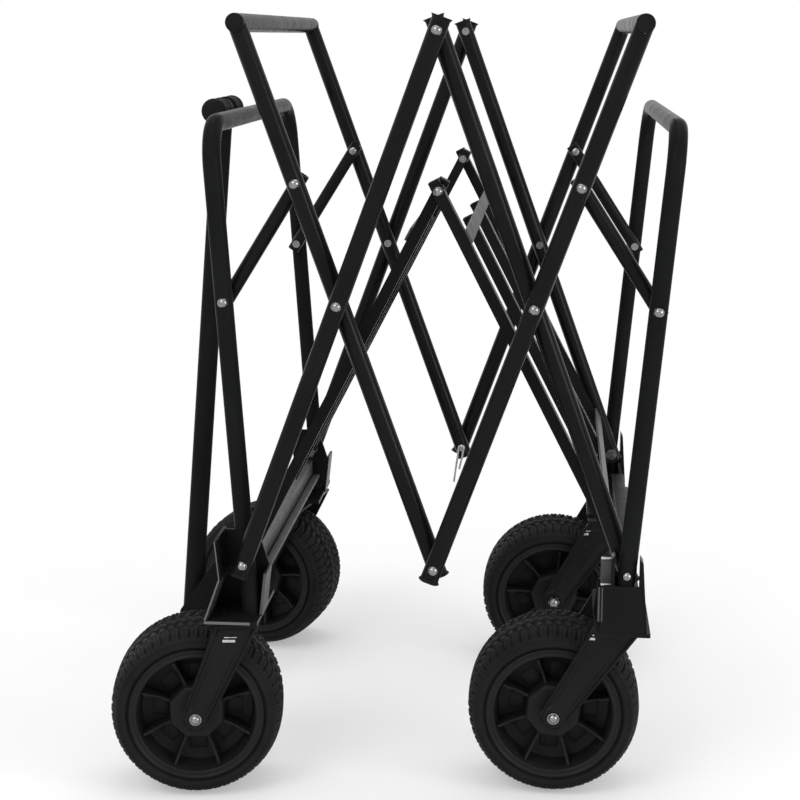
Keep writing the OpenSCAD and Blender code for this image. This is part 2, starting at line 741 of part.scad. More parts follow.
module caster_fork_near() { color("#26262a") placed() caster(NEAR) caster_fork(); }
module caster_fork_far() { color("#26262a") placed() caster(FAR) caster_fork(); }
module rear_fork_near() { color("#26262a") placed() rear_fork(NEAR); }
module rear_fork_far() { color("#26262a") placed() rear_fork(FAR); }
module caster_axle_near() { color("#c0c0c4") placed() caster(NEAR) axle_bolt(-trail, 0, NEAR); }
module caster_axle_far() { color("#c0c0c4") placed() caster(FAR) axle_bolt(-trail, 0, FAR); }
module rear_axles() {
  color("#c0c0c4") placed() for (side = [NEAR, FAR]) axle_bolt(rear_axle_x, side * rear_track, side);
}

// Kingpins with their bearing races
module kingpins() {
  color("#8c8c90") placed()
    for (side = [NEAR, FAR]) translate([-king_x, side * front_track, 0]) {
      translate([0, 0, king_low]) cylinder(h = king_top - king_low, d = king_d);
      translate([0, 0, king_low]) cylinder(h = king_head_h, d = king_d + 8);
      translate([0, 0, front_crown_z + run_gap]) cylinder(h = race_h, d = race_d);
      translate([0, 0, foot_top]) cylinder(h = nut_h, d = king_d + 8, $fn = 6);
    }
}

module front_rim_near() { color("#17171a") placed() caster(NEAR) rim(-trail, 0); }
module front_rim_far() { color("#17171a") placed() caster(FAR) rim(-trail, 0); }
module rear_rim_near() { color("#17171a") placed() rim(rear_axle_x, -rear_track); }
module rear_rim_far() { color("#17171a") placed() rim(rear_axle_x, rear_track); }
module front_tyre_near() { color("#0c0c0d") placed() caster(NEAR) tyre(-trail, 0); }
module front_tyre_far() { color("#0c0c0d") placed() caster(FAR) tyre(-trail, 0); }
module rear_tyre_near() { color("#0c0c0d") placed() tyre(rear_axle_x, -rear_track); }
module rear_tyre_far() { color("#0c0c0d") placed() tyre(rear_axle_x, rear_track); }

// Handle

// Two cheeks from the front beam down to the handle pivot, with a bar that stops the upright handle
module handle_yoke() {
  foot = handle_foot();
  x = -corner_x - beam_w;
  outline = [[x, beam_top], [x - 26, beam_top - 4], foot + [-10, 14], foot + [-14, 0],
    foot + [-6, -12], foot + [10, -10], [x, beam_top - beam_h]];
  stop_h = 46;
  stop_r = 4;
  stop = foot + [stop_h * tan(handle_lean) + handle_d / 2 / cos(handle_lean) + stop_r + 0.2, stop_h];
  color("#26262a") placed() {
    difference() {
      for (side = [NEAR, FAR]) on_side(side) plate(outline, yoke_half, yoke_half + yoke_t);
      translate([foot[0], 0, foot[1]]) cross_hole(axle_d, 4 * yoke_half);
    }
    translate([x - 8, -yoke_half - yoke_t, beam_top - beam_h]) cube([8, 2 * (yoke_half + yoke_t), beam_h]);
    across(stop, FAR, -yoke_half - 0.01) cylinder(h = 2 * yoke_half + 0.02, r = stop_r);
  }
}

module handle_pin() {
  half = yoke_half + yoke_t;
  color("#c0c0c4") placed() across(handle_foot(), FAR, -half) {
    cylinder(h = 2 * half, d = axle_d);
    translate([0, 0, 2 * half - 0.01]) dome(6.5, 4);
    translate([0, 0, -4]) cylinder(h = 4.01, d = 13);
  }
}

module handle_shaft() {
  color("#1c1c1f") placed() along(handle_foot(), grip_at(), 0) difference() {
    union() {
      translate([0, 0, -4]) cylinder(h = handle_len + 4 - handle_d / 2, d = handle_d);
      rotate([90, 0, 0]) cylinder(h = handle_d, d = handle_d, center = true);
    }
    translate([0, 0, 22]) cylinder(h = handle_len, d = handle_d - 2 * tube_wall);
    cross_hole(axle_d, 2 * handle_d);
    translate([0, 0, handle_len]) rotate([90, 0, 0]) cylinder(h = 100, d = handle_d, center = true);
  }
}

// Cross tube of the handle
module handle_head() {
  half = grip_len / 2 - 4;
  color("#1c1c1f") placed() across(grip_at(), FAR, -half) difference() {
    cylinder(h = 2 * half, d = handle_d);
    translate([0, 0, -1]) cylinder(h = 2 * half + 2, d = handle_d - 2 * tube_wall);
  }
}

// Two ribbed sleeves with flared ends, one each side of the shaft
module handle_grip() {
  inner = handle_d / 2 + 4;
  half = grip_len / 2;
  color("#101012") placed() for (side = [NEAR, FAR]) across(grip_at(), side, 0) difference() {
    union() {
      translate([0, 0, inner]) cylinder(h = half - inner, d = grip_d - 2);
      translate([0, 0, half - 8]) cylinder(h = 8, d = grip_d);
      translate([0, 0, inner]) cylinder(h = 3, d = grip_d);
    }
    translate([0, 0, inner - 1]) cylinder(h = half - 4 - inner + 1, d = handle_d);
  }
}

front_frame();
front_bracket_near();
front_bracket_far();
front_beam();
handle_yoke();
handle_pin();
front_bolts();
kingpins();
front_low_rod_near();
front_low_rod_far();
front_low_plugs();
front_low_rivets();
front_up_rod_near();
front_up_rod_far();
front_rail();
front_up_plugs();
front_up_rivets();
rear_low_rod_near();
rear_low_rod_far();
rear_low_plugs();
rear_up_rod_near();
rear_up_rod_far();
rear_rail();
rear_up_plugs();
rear_up_rivets();
rear_frame();
rear_bracket_near();
rear_bracket_far();
rear_beam();
rear_fork_near();
rear_fork_far();
rear_axles();
rear_bolts();
floor_front_bars();
floor_front_strips();
floor_front_plugs();
floor_rear_bars();
floor_rear_strips();
floor_rear_plugs();
floor_rear_rivets();
front_links();
rear_links();
caster_fork_near();
caster_axle_near();
caster_fork_far();
caster_axle_far();
front_rim_near();
front_tyre_near();
front_rim_far();
front_tyre_far();
rear_rim_near();
rear_tyre_near();
rear_rim_far();
rear_tyre_far();
handle_shaft();
handle_head();
handle_grip();
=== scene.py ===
"""Looks of a bare folding wagon frame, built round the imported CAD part.

X runs along the wagon with the handle end at -X, Y across with the near side at -Y, and Z is up, in metres.
"""

import json
import math

import bmesh
import bpy
from mathutils import Matrix, Vector

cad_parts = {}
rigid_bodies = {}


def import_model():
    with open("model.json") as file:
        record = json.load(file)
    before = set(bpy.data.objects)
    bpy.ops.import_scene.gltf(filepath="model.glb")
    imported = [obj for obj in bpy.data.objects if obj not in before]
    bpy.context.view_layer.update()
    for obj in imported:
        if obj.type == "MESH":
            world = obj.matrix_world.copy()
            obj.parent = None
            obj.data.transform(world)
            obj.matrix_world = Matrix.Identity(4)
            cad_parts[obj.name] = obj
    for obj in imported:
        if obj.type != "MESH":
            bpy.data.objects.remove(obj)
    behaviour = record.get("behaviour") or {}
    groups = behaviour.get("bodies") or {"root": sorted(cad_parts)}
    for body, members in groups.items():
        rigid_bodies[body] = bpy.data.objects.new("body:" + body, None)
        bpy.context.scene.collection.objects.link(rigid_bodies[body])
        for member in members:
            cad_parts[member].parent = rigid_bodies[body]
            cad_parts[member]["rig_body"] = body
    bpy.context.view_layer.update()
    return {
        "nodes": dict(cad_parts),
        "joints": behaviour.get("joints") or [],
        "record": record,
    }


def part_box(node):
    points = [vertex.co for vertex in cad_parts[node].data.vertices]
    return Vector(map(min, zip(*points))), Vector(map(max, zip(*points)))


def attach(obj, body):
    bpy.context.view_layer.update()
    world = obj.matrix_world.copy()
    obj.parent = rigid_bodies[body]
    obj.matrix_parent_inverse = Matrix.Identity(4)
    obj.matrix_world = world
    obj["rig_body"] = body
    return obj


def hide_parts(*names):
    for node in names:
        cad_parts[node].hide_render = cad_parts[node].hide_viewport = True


MM = 0.001
SIDES = ("near", "far")

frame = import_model()
nodes = frame["nodes"]
joints = {joint["name"]: joint for joint in frame["joints"]}
pivots = {name: Vector(joint["pos_m"]) for name, joint in joints.items()}


# Small helpers

def smoothstep(low, high, x):
    """0 below low, 1 above high, and a smooth ramp between."""
    t = min(max((x - low) / (high - low), 0.0), 1.0)
    return t * t * (3 - 2 * t)


def spin_turn(name):
    """How far a wheel's axis is turned about Z from straight across."""
    axis = joints[name]["axis"]
    return math.atan2(-axis[0], axis[1])


def link_object(name, mesh):
    obj = bpy.data.objects.new(name, mesh)
    bpy.context.scene.collection.objects.link(obj)
    return obj


def mesh_from(bm, name, sharp_deg):
    """A mesh with smooth shading and sharp edges where faces meet at more than sharp_deg."""
    bmesh.ops.recalc_face_normals(bm, faces=bm.faces)
    mesh = bpy.data.meshes.new(name)
    bm.to_mesh(mesh)
    bm.free()
    mesh.polygons.foreach_set("use_smooth", [True] * len(mesh.polygons))
    mesh.set_sharp_from_angle(angle=math.radians(sharp_deg))
    return mesh


def add_piece(name, mesh, material, body, replaced=()):
    """A new piece that rides on a body and stands for the CAD nodes it replaces."""
    obj = link_object(name, mesh)
    mesh.materials.clear()
    mesh.materials.append(material)
    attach(obj, body)
    if replaced:
        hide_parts(*replaced)
    return obj


def lathe(bm, profile, steps, closed, start=0.0):
    """Turns (radius, height) points about the Y axis, from a start angle; height runs along Y."""
    rings = []
    for i in range(steps):
        a = start + 2 * math.pi * i / steps
        ca, sa = math.cos(a), math.sin(a)
        rings.append([bm.verts.new((r * ca, h, r * sa)) for r, h in profile])
    last = len(profile) if closed else len(profile) - 1
    for i in range(steps):
        one, two = rings[i], rings[(i + 1) % steps]
        for j in range(last):
            k = (j + 1) % len(profile)
            bm.faces.new((one[j], one[k], two[k], two[j]))


def rounded_profile(points, radius, steps):
    """A closed outline with each corner replaced by a small curve."""
    out = []
    count = len(points)
    for i in range(count):
        here = Vector(points[i])
        back = Vector(points[i - 1]) - here
        ahead = Vector(points[(i + 1) % count]) - here
        reach = min(radius, 0.45 * back.length, 0.45 * ahead.length)
        start = here + back.normalized() * reach
        end = here + ahead.normalized() * reach
        for s in range(steps + 1):
            t = s / steps
            out.append(tuple(start * (1 - t) ** 2 + here * 2 * t * (1 - t) + end * t * t))
    return out


def add_box(bm, low, high, bevel, matrix=None):
    """A box with bevelled edges, given by two corners."""
    size = Vector(high) - Vector(low)
    mid = (Vector(high) + Vector(low)) / 2
    place = Matrix.Translation(mid) @ Matrix.Diagonal((*size, 1))
    made = bmesh.ops.create_cube(bm, size=1, matrix=place)
    verts = made["verts"]
    edges = list(dict.fromkeys(e for v in verts for e in v.link_edges))
    rounded = bmesh.ops.bevel(bm, geom=edges, offset=bevel, segments=2, affect="EDGES", profile=0.5)
    if matrix is not None:
        every = {v for f in rounded["faces"] for v in f.verts} | {v for v in verts if v.is_valid}
        bmesh.ops.transform(bm, matrix=matrix, verts=list(every))


# Materials: noise scales count features per metre, and bump heights are in metres

NOISE_ROUGHNESS = 0.55


class Maker:
    """Adds nodes to one material and keeps its links short to write."""

    def __init__(self, name):
        self.material = bpy.data.materials.new(name)
        self.material.use_nodes = True
        self.tree = self.material.node_tree
        self.bsdf = self.tree.nodes["Principled BSDF"]
        self.coords = self.tree.nodes.new("ShaderNodeTexCoord").outputs["Object"]

    def link(self, out, into):
        self.tree.links.new(out, into)

    def noise(self, scale, detail, stretch=(1, 1, 1)):
        """Noise over the object's own coordinates; it keeps mostly to 0.3 to 0.7."""
        mapping = self.tree.nodes.new("ShaderNodeMapping")
        mapping.inputs["Scale"].default_value = stretch
        node = self.tree.nodes.new("ShaderNodeTexNoise")
        node.inputs["Scale"].default_value = scale
        node.inputs["Detail"].default_value = detail
        node.inputs["Roughness"].default_value = NOISE_ROUGHNESS
        self.link(self.coords, mapping.inputs["Vector"])
        self.link(mapping.outputs["Vector"], node.inputs["Vector"])
        return node.outputs["Fac"]

    def ramp(self, fac, stops):
        node = self.tree.nodes.new("ShaderNodeValToRGB")
        elements = node.color_ramp.elements
        while len(elements) < len(stops):
            elements.new(0.5)
        for element, (place, colour) in zip(elements, stops):
            element.position = place
            element.color = (*colour, 1)
        self.link(fac, node.inputs["Fac"])
        return node.outputs["Color"]

    def span(self, fac, low, high, start=0.3, end=0.7):
        """Maps a signal that runs from start to end onto low to high."""
        node = self.tree.nodes.new("ShaderNodeMapRange")
        node.inputs["From Min"].default_value = start
        node.inputs["From Max"].default_value = end
        node.inputs["To Min"].default_value = low
        node.inputs["To Max"].default_value = high
        self.link(fac, node.inputs["Value"])
        return node.outputs["Result"]

    def mix(self, fac, one, two):
        node = self.tree.nodes.new("ShaderNodeMix")
        node.data_type = "RGBA"
        self.link(fac, node.inputs["Factor"])
        self.link(one, node.inputs["A"])
        self.link(two, node.inputs["B"])
        return node.outputs["Result"]

    def bump(self, height, distance, strength, below=None):
        node = self.tree.nodes.new("ShaderNodeBump")
        node.inputs["Distance"].default_value = distance
        node.inputs["Strength"].default_value = strength
        self.link(height, node.inputs["Height"])
        if below is not None:
            self.link(below, node.inputs["Normal"])
        return node.outputs["Normal"]

    def set(self, **values):
        for key, value in values.items():
            self.bsdf.inputs[key.replace("_", " ")].default_value = value

    def wire(self, colour, roughness, normal):
        self.link(colour, self.bsdf.inputs["Base Color"])
        self.link(roughness, self.bsdf.inputs["Roughness"])
        self.link(normal, self.bsdf.inputs["Normal"])
        return self.material


def grey(value, warm=0.0):
    """A grey, tinted towards red by a positive warm and towards blue by a negative one."""
    return (value * (1 + warm), value, value * (1 - warm))


def powder_coat(name, dark, light, gloss, shine, warm=0.0):
    """Satin paint baked on steel: orange peel and faint scuffs."""
    m = Maker(name)
    m.set(Specular_IOR_Level=shine)
    broad = m.ramp(m.noise(14, 4), [(0.3, grey(dark, warm)), (0.7, grey(light, warm))])
    scuffs = m.span(m.noise(70, 5, (1, 1, 0.12)), 0, 0.4, 0.64, 0.8)
    faint, strong = light * 1.6, light * 2.2
    rubbed = m.ramp(m.noise(60, 3), [(0.0, grey(faint, warm)), (1.0, grey(strong, warm))])
    colour = m.mix(scuffs, broad, rubbed)
    peel = m.bump(m.noise(950, 2), 0.00008, 0.14)
    waves = m.bump(m.noise(130, 2), 0.0002, 0.06, peel)
    return m.wire(colour, m.span(m.noise(45, 4), *gloss), waves)


def zinc(name, dark, light, gloss):
    """Plated steel with fine turning marks."""
    m = Maker(name)
    m.set(Metallic=1.0)
    colour = m.ramp(m.noise(220, 4), [(0.3, grey(dark, 0.01)), (0.7, grey(light, 0.01))])
    scratch = m.bump(m.noise(1600, 3, (1, 0.2, 1)), 0.00006, 0.4)
    return m.wire(colour, m.span(m.noise(400, 3), *gloss), scratch)


def moulded(name, dark, light, grain, gloss):
    """Moulded plastic with a fine spark-eroded grain."""
    m = Maker(name)
    m.set(Specular_IOR_Level=0.08)
    colour = m.ramp(m.noise(35, 4), [(0.3, grey(dark, -0.04)), (0.7, grey(light, -0.04))])
    fine = m.bump(m.noise(grain, 2), 0.00015, 0.5)
    flow = m.bump(m.noise(60, 2), 0.0003, 0.15, fine)
    return m.wire(colour, m.span(m.noise(90, 3), *gloss), flow)


def rubber(name):
    """Tyre rubber, a little dusty where it has rolled."""
    m = Maker(name)
    m.set(Specular_IOR_Level=0.04)
    base = m.ramp(m.noise(30, 5), [(0.3, grey(0.0105)), (0.7, grey(0.0140))])
    dust = m.ramp(m.noise(55, 5), [(0.0, grey(0.015, 0.03)), (1.0, grey(0.019, 0.03))])
    colour = m.mix(m.span(m.noise(17, 6), 0, 0.35, 0.45, 0.75), base, dust)
    pores = m.bump(m.noise(1300, 3), 0.0002, 0.4)
    return m.wire(colour, m.span(m.noise(25, 4), 0.46, 0.62), pores)


def any_of(tree, *signals):
    """The largest of several signals in a node tree."""
    result = signals[0]
    for signal in signals[1:]:
        node = tree.nodes.new("ShaderNodeMath")
        node.operation = "MAXIMUM"
        tree.links.new(result, node.inputs[0])
        tree.links.new(signal, node.inputs[1])
        result = node.outputs[0]
    return result


def seen_directly(tree):
    """1 for rays from the camera, and for those that a mirror or glass sends on."""
    path = tree.nodes.new("ShaderNodeLightPath")
    kinds = ("Camera", "Glossy", "Transmission")
    return any_of(tree, *(path.outputs[f"Is {kind} Ray"] for kind in kinds))


# Share of plain white in the floor by the wagon, and the distances in metres between which it grows to 1
FLOOR_WHITE = 0.35
FADE_START = 0.45
FADE_END = 1.0


def floor_paint(name):
    """Pale floor that keeps the shadow by the wagon and runs into the white background further out."""
    m = Maker(name)
    m.set(Specular_IOR_Level=0.1)
    colour = m.ramp(m.noise(1.5, 2), [(0.3, grey(0.90)), (0.7, grey(0.92))])
    m.wire(colour, m.span(m.noise(3, 2), 0.8, 0.9), m.bump(m.noise(300, 2), 0.0002, 0.1))
    away = m.tree.nodes.new("ShaderNodeVectorMath")
    away.operation = "LENGTH"
    m.link(m.coords, away.inputs[0])
    share = m.tree.nodes.new("ShaderNodeMath")
    share.operation = "MULTIPLY"
    m.link(m.span(away.outputs["Value"], FLOOR_WHITE, 1, FADE_START, FADE_END), share.inputs[0])
    m.link(seen_directly(m.tree), share.inputs[1])
    white = m.tree.nodes.new("ShaderNodeEmission")
    white.inputs["Color"].default_value = (1, 1, 1, 1)
    blend = m.tree.nodes.new("ShaderNodeMixShader")
    m.link(share.outputs[0], blend.inputs["Fac"])
    m.link(m.bsdf.outputs[0], blend.inputs[1])
    m.link(white.outputs[0], blend.inputs[2])
    m.link(blend.outputs[0], m.tree.nodes["Material Output"].inputs["Surface"])
    return m.material


paint = powder_coat("black_powder_coat", 0.0085, 0.0115, (0.22, 0.32), 0.012, -0.04)
rod_paint = powder_coat("black_rod_paint", 0.0050, 0.0075, (0.2, 0.3), 0.08, -0.05)
plate_paint = powder_coat("black_plate_paint", 0.0080, 0.0110, (0.24, 0.34), 0.03, -0.02)
fork_paint = powder_coat("black_fork_paint", 0.0095, 0.0125, (0.24, 0.34), 0.06)
grey_paint = powder_coat("grey_plate_paint", 0.060, 0.080, (0.38, 0.5), 0.12, 0.02)
# Light grey for bars along the front brackets' foot and left cheek edges: painted highlights on those edges
edge_paint = powder_coat("painted_edge_highlight_paint", 0.100, 0.140, (0.3, 0.42), 0.2)
# Dark grey, lighter than the black paint: painted light on the left cheek's inner face
dark_grey_paint = powder_coat("dark_grey_painted_light_paint", 0.028, 0.040, (0.34, 0.46), 0.08)
# Olive for the front beam's flange, and also for a painted reflection of the leg's edge on the right cheek
olive_paint = powder_coat("olive_flange_and_highlight_paint", 0.066, 0.086, (0.38, 0.5), 0.12, 0.06)
bright = zinc("bright_zinc", 0.42, 0.58, (0.26, 0.42))
rivet_steel = zinc("rivet_steel", 0.21, 0.30, (0.16, 0.28))
plug_plastic = moulded("plug_plastic", 0.005, 0.008, 1500, (0.42, 0.55))
grip_plastic = moulded("grip_plastic", 0.006, 0.009, 1100, (0.48, 0.6))
rim_plastic = moulded("rim_plastic", 0.0115, 0.0145, 1700, (0.32, 0.42))
tyre_rubber = rubber("tyre_rubber")

SLOT_MATERIAL = {
    "frame_tube": paint,
    "pressed_steel": plate_paint,
    "grey_steel": grey_paint,
    "fastener": rivet_steel,
    "plug": plug_plastic,
    "grip": grip_plastic,
    "rim": rim_plastic,
    "tyre": tyre_rubber,
}

for part in frame["record"]["subparts"]:
    shown = nodes[part["node"]].data.materials
    shown.clear()
    is_rod = "_rod_" in part["node"] or "_link" in part["node"]
    shown.append(rod_paint if is_rod else SLOT_MATERIAL[part["material_slot"]])


# Wheels

PITCHES = 54
STEPS_PER_PITCH = 10
TREAD_R = 88
TREAD_DEPTH = 2.6
# Distances from the crown along the tyre's section, in mm
CENTRE_GROOVE = 9
SHOULDER_GROOVE = 22
SLANT_REACH = 30
TREAD_EDGE = 43
# Pitches that the cross grooves slant by, then how far the ring grooves swing and half their width, in mm
SLANT = 0.95
CENTRE_SLANT = 0.8
ZIGZAG = 1.3
RING_HALF = 1.2
# Ring moulded round the sidewall, in mm, and where the sidewall starts
RING_R = 72.2
RING_HEIGHT = 0.35
SIDEWALL_R = 76
SIDEWALL_X = 43.5


def tyre_section():
    """Half of the tyre's outline as (across, radius) in mm, from the crown to the bead, about 1 mm apart."""
    knots = [(0, 87.85), (10, 87.8), (20, 87.5), (28, 86.8), (34, 85.7), (39, 84.0), (43.4, 81.6),
             (46.4, 78.8), (47.7, 76), (47.4, 73.6), (46.2, 71.8), (44.6, 70.6), (43.1, 70.1), (43, 67),
             (43, 64)]
    points = []
    for i in range(len(knots) - 1):
        p0 = Vector(knots[max(i - 1, 0)])
        p1, p2 = Vector(knots[i]), Vector(knots[i + 1])
        p3 = Vector(knots[min(i + 2, len(knots) - 1)])
        pieces = max(2, round((p2 - p1).length))
        for s in range(pieces):
            t = s / pieces
            points.append(0.5 * (2 * p1 + (p2 - p0) * t + (2 * p0 - 5 * p1 + 4 * p2 - p3) * t * t
                                 + (3 * p1 - p0 - 3 * p2 + p3) * t ** 3))
    points.append(Vector(knots[-1]))
    return points


def groove(distance, half_width):
    """1 in the middle of a groove, 0 outside it; both in mm."""
    return 1 - smoothstep(half_width - 0.5, half_width + 0.5, abs(distance))


def window(x, low, high, ramp=1.5):
    """1 between low and high, with soft ends."""
    return smoothstep(low - ramp, low, x) * (1 - smoothstep(high, high + ramp, x))


def to_nearest(x):
    """Signed distance from x to the nearest whole number."""
    return x - math.floor(x + 0.5)


def tread_depth(turn, reach, side):
    """Share of the tread's depth that is cut away, at a pitch count and a distance from the crown."""
    pitch_mm = 2 * math.pi * TREAD_R / PITCHES
    shifted = turn + (0.5 if side > 0 else 0.0)
    zigzag = ZIGZAG * (4 * abs(to_nearest(shifted)) - 1)
    slant = shifted + SLANT * min(reach, SLANT_REACH) / SLANT_REACH
    cross = to_nearest(slant) * pitch_mm
    centre = to_nearest(shifted - CENTRE_SLANT * reach / CENTRE_GROOVE) * pitch_mm
    tick = to_nearest(2 * slant) / 2 * pitch_mm
    between = to_nearest(2 * slant + 0.5) / 2 * pitch_mm
    cuts = [
        groove(cross, 1.35) * window(reach, CENTRE_GROOVE, TREAD_EDGE),
        0.8 * groove(centre, 0.8) * window(reach, 0, CENTRE_GROOVE),
        groove(reach - CENTRE_GROOVE - zigzag, RING_HALF),
        groove(reach - SHOULDER_GROOVE + zigzag, RING_HALF),
        0.45 * groove(tick, 0.9) * window(reach, 28, 42),
        0.35 * groove(between, 0.6) * window(reach, 12, 19, 2),
    ]
    ledge = 0.5 * smoothstep(47.5, 48.5, reach) * (1 - smoothstep(50, 57, reach))
    tooth = 0.5 * groove(between, 1.7) * window(reach, 47, 50, 0.8)
    return max(*cuts, ledge - tooth)


def sidewall_ring(radius):
    """Raised ring moulded round the sidewall by the rim, in mm."""
    return RING_HEIGHT * (1 - smoothstep(0.3, 0.9, abs(radius - RING_R)))


def make_tyre():
    """Tyre round the Y axis, with the tread pattern cut into its section at every step."""
    half = tyre_section()
    reach = [0.0]
    for a, b in zip(half, half[1:]):
        reach.append(reach[-1] + (b - a).length)
    section = [(p, r, -1) for p, r in zip(half[:0:-1], reach[:0:-1])]
    section += [(p, r, 1) for p, r in zip(half, reach)]
    normals = []
    for i in range(len(section)):
        before = section[max(i - 1, 0)]
        after = section[min(i + 1, len(section) - 1)]
        start = Vector((before[2] * before[0].x, before[0].y))
        along = Vector((after[2] * after[0].x, after[0].y)) - start
        normals.append(Vector((-along.y, along.x)).normalized())
    bm = bmesh.new()
    steps = PITCHES * STEPS_PER_PITCH
    rings = []
    for i in range(steps):
        turn = i / STEPS_PER_PITCH
        angle = 2 * math.pi * i / steps
        ring = []
        for (point, distance, side), normal in zip(section, normals):
            inset = TREAD_DEPTH * tread_depth(turn, distance, side)
            if point.y < SIDEWALL_R and point.x > SIDEWALL_X:
                inset -= sidewall_ring(point.y)
            across = (side * point.x - normal.x * inset) * MM
            radius = (point.y - normal.y * inset) * MM
            ring.append(bm.verts.new((radius * math.cos(angle), across, radius * math.sin(angle))))
        rings.append(ring)
    for i in range(steps):
        one, two = rings[i], rings[(i + 1) % steps]
        for j in range(len(section) - 1):
            bm.faces.new((one[j], one[j + 1], two[j + 1], two[j]))
        bm.faces.new((one[-1], one[0], two[0], two[-1]))
    return mesh_from(bm, "tyre", sharp_deg=60)


FINS = 8
FIN_TURN = 360 / FINS
AXLE_BORE = 4.05
# Half outlines of the rim's pieces as (radius, height) in mm, with the height from the wheel's middle plane
RIM_HALF = [(68.6, 43.1), (68.6, 45.0), (66.9, 45.9), (65.6, 44.6), (63.8, 44.4), (62.4, 45.4),
            (60.4, 44.6), (58.8, 38), (57.8, 26), (56.4, 19.5), (44, 17), (26, 16.5)]
RIM_BED = [(64, -43.1), (64, 43.1)]
BOSS = [(AXLE_BORE, 48.8), (10.5, 48.8), (11.6, 47.8), (12.2, 40), (12.2, 30), (AXLE_BORE, 30)]
HUB = [(AXLE_BORE, 38), (25, 38.6), (28.4, 37.2), (29.6, 34), (31.2, 15), (AXLE_BORE, 15)]
# A fin's outline as (radius, height, half thickness), and a pad's two corners, in mm
FIN = [(27, 15, 2.1), (58.5, 15, 2.1), (58.5, 42, 1.3), (54, 41, 1.3), (47, 36, 1.3), (38, 33, 1.3),
       (27, 33, 1.5)]
FIN_ROUND = 0.5
PAD = ((30, 15, -9), (46, 18.2, 9))
PAD_ROUND = 1.0


def add_fin(bm, turn, face):
    """One tapered fin in the dish on the rim's +Y or -Y face."""
    left = [bm.verts.new(turn @ Vector((r * MM, face * h * MM, -t * MM))) for r, h, t in FIN]
    right = [bm.verts.new(turn @ Vector((r * MM, face * h * MM, t * MM))) for r, h, t in FIN]
    for i in range(len(FIN)):
        k = (i + 1) % len(FIN)
        bm.faces.new((left[i], left[k], right[k], right[i]))
    caps = [bm.faces.new(left), bm.faces.new(right)]
    edges = list(dict.fromkeys(e for f in caps for e in f.edges))
    bmesh.ops.bevel(bm, geom=edges, offset=FIN_ROUND * MM, segments=2, affect="EDGES", profile=0.5)


def add_pad(bm, turn, face):
    """One flat pad between two fins."""
    (x_low, y_low, z_low), (x_high, y_high, z_high) = PAD
    low, high = sorted((face * y_low, face * y_high))
    add_box(bm, Vector((x_low, low, z_low)) * MM, Vector((x_high, high, z_high)) * MM, PAD_ROUND * MM, turn)


def make_rim():
    """Dished rim: double lip, barrel, web, eight fins, pads between them and a stepped hub."""
    bm = bmesh.new()
    outline = RIM_HALF + [(r, -h) for r, h in reversed(RIM_HALF)] + RIM_BED
    lathe(bm, [(r * MM, h * MM) for r, h in rounded_profile(outline, 1.2, 3)], 128, True)
    for face in (-1, 1):
        boss = [(r * MM, face * h * MM) for r, h in rounded_profile(BOSS, 0.8, 2)]
        lathe(bm, boss, 48, True)
        hub = [(r * MM, face * h * MM) for r, h in rounded_profile(HUB, 1.2, 2)]
        lathe(bm, hub, FINS, True, math.radians(FIN_TURN / 2))
        for k in range(FINS):
            add_fin(bm, Matrix.Rotation(math.radians(FIN_TURN / 2 + FIN_TURN * k), 4, "Y"), face)
            add_pad(bm, Matrix.Rotation(math.radians(FIN_TURN * k), 4, "Y"), face)
    return mesh_from(bm, "rim", sharp_deg=40)


tyre_mesh = make_tyre()
rim_mesh = make_rim()
WHEELS = [(end, side) for end in ("front", "rear") for side in SIDES]
# How far each wheel is rolled round from the drawn shape, in degrees
SPIN = {("front", "near"): 0, ("front", "far"): 13, ("rear", "near"): 6, ("rear", "far"): 29}

for end, side in WHEELS:
    spin = f"{end}_spin_{side}"
    level = Matrix.Translation(pivots[spin]) @ Matrix.Rotation(spin_turn(spin), 4, "Z")
    turned = level @ Matrix.Rotation(math.radians(SPIN[end, side]), 4, "Y")
    for slot, detail, shape, material in (("tyre", "tread", tyre_mesh, tyre_rubber),
                                          ("rim", "dish", rim_mesh, rim_plastic)):
        mesh = shape.copy()
        mesh.transform(turned)
        add_piece(f"{end}_{slot}_{detail}_{side}", mesh, material, f"{end}_wheel_{side}",
                  [f"{end}_{slot}_{side}"])


# Forks

FORK_T = 4.0
CROWN_T = 4
CROWN_ROUND = 1.4
# How far an arm's top lies below the crown's top, and how much narrower than the crown it is, in mm
ARM_DROP = 3.0
ARM_INSET = 1.0
ARM_END_R = 14.0
ARM_STEPS = 60
END_STEPS = 12
END_SWEEP = math.radians(88)
# Where an arm's shape is sampled, from its edge at -1 to its middle at 0
ARM_HALF = [-1, -0.985, -0.965, -0.93, -0.9, -0.87, -0.84, -0.81, -0.78, -0.72, -0.68, -0.64, -0.6, -0.57,
            -0.54, -0.5, -0.4, -0.25, 0]
ARM_ACROSS = ARM_HALF + [-t for t in reversed(ARM_HALF[:-1])]
# Least height of the pressed face over the arm's inner side, and what each form adds to it, in mm
SUNK = 1.7
BORDER = 2.0
PANEL = 1.9
BROW = 1.4
# Heights of the boss round the axle and the rim round the end, and where each one's edge slopes
AXLE_BOSS = 3.9
AXLE_BOSS_EDGE = (9.5, 13.5)
END_RIM = 3.2
END_RIM_EDGE = (ARM_END_R - 2.6, ARM_END_R - 1.4)
# How far the face stays inside the arm's thickness
FACE_GAP = 0.05
# Bright zinc bars on the arms, painted glints, as (height from the crown's top, half thickness), and their
# two sides from the arm's inner side
ARM_GLINT_BARS = [(-17.0, 1.5), (-13.2, 0.6)]
ARM_GLINT_SIDES = (1.2, 3.6)
ARM_GLINT_ROUND = 0.5
# Crown width, half width of the glint bars and how far the glint bars sit towards the handle, in mm
FORK_KINDS = {"caster": (44, 6.5, 0), "rear": (52, 3.2, 17)}


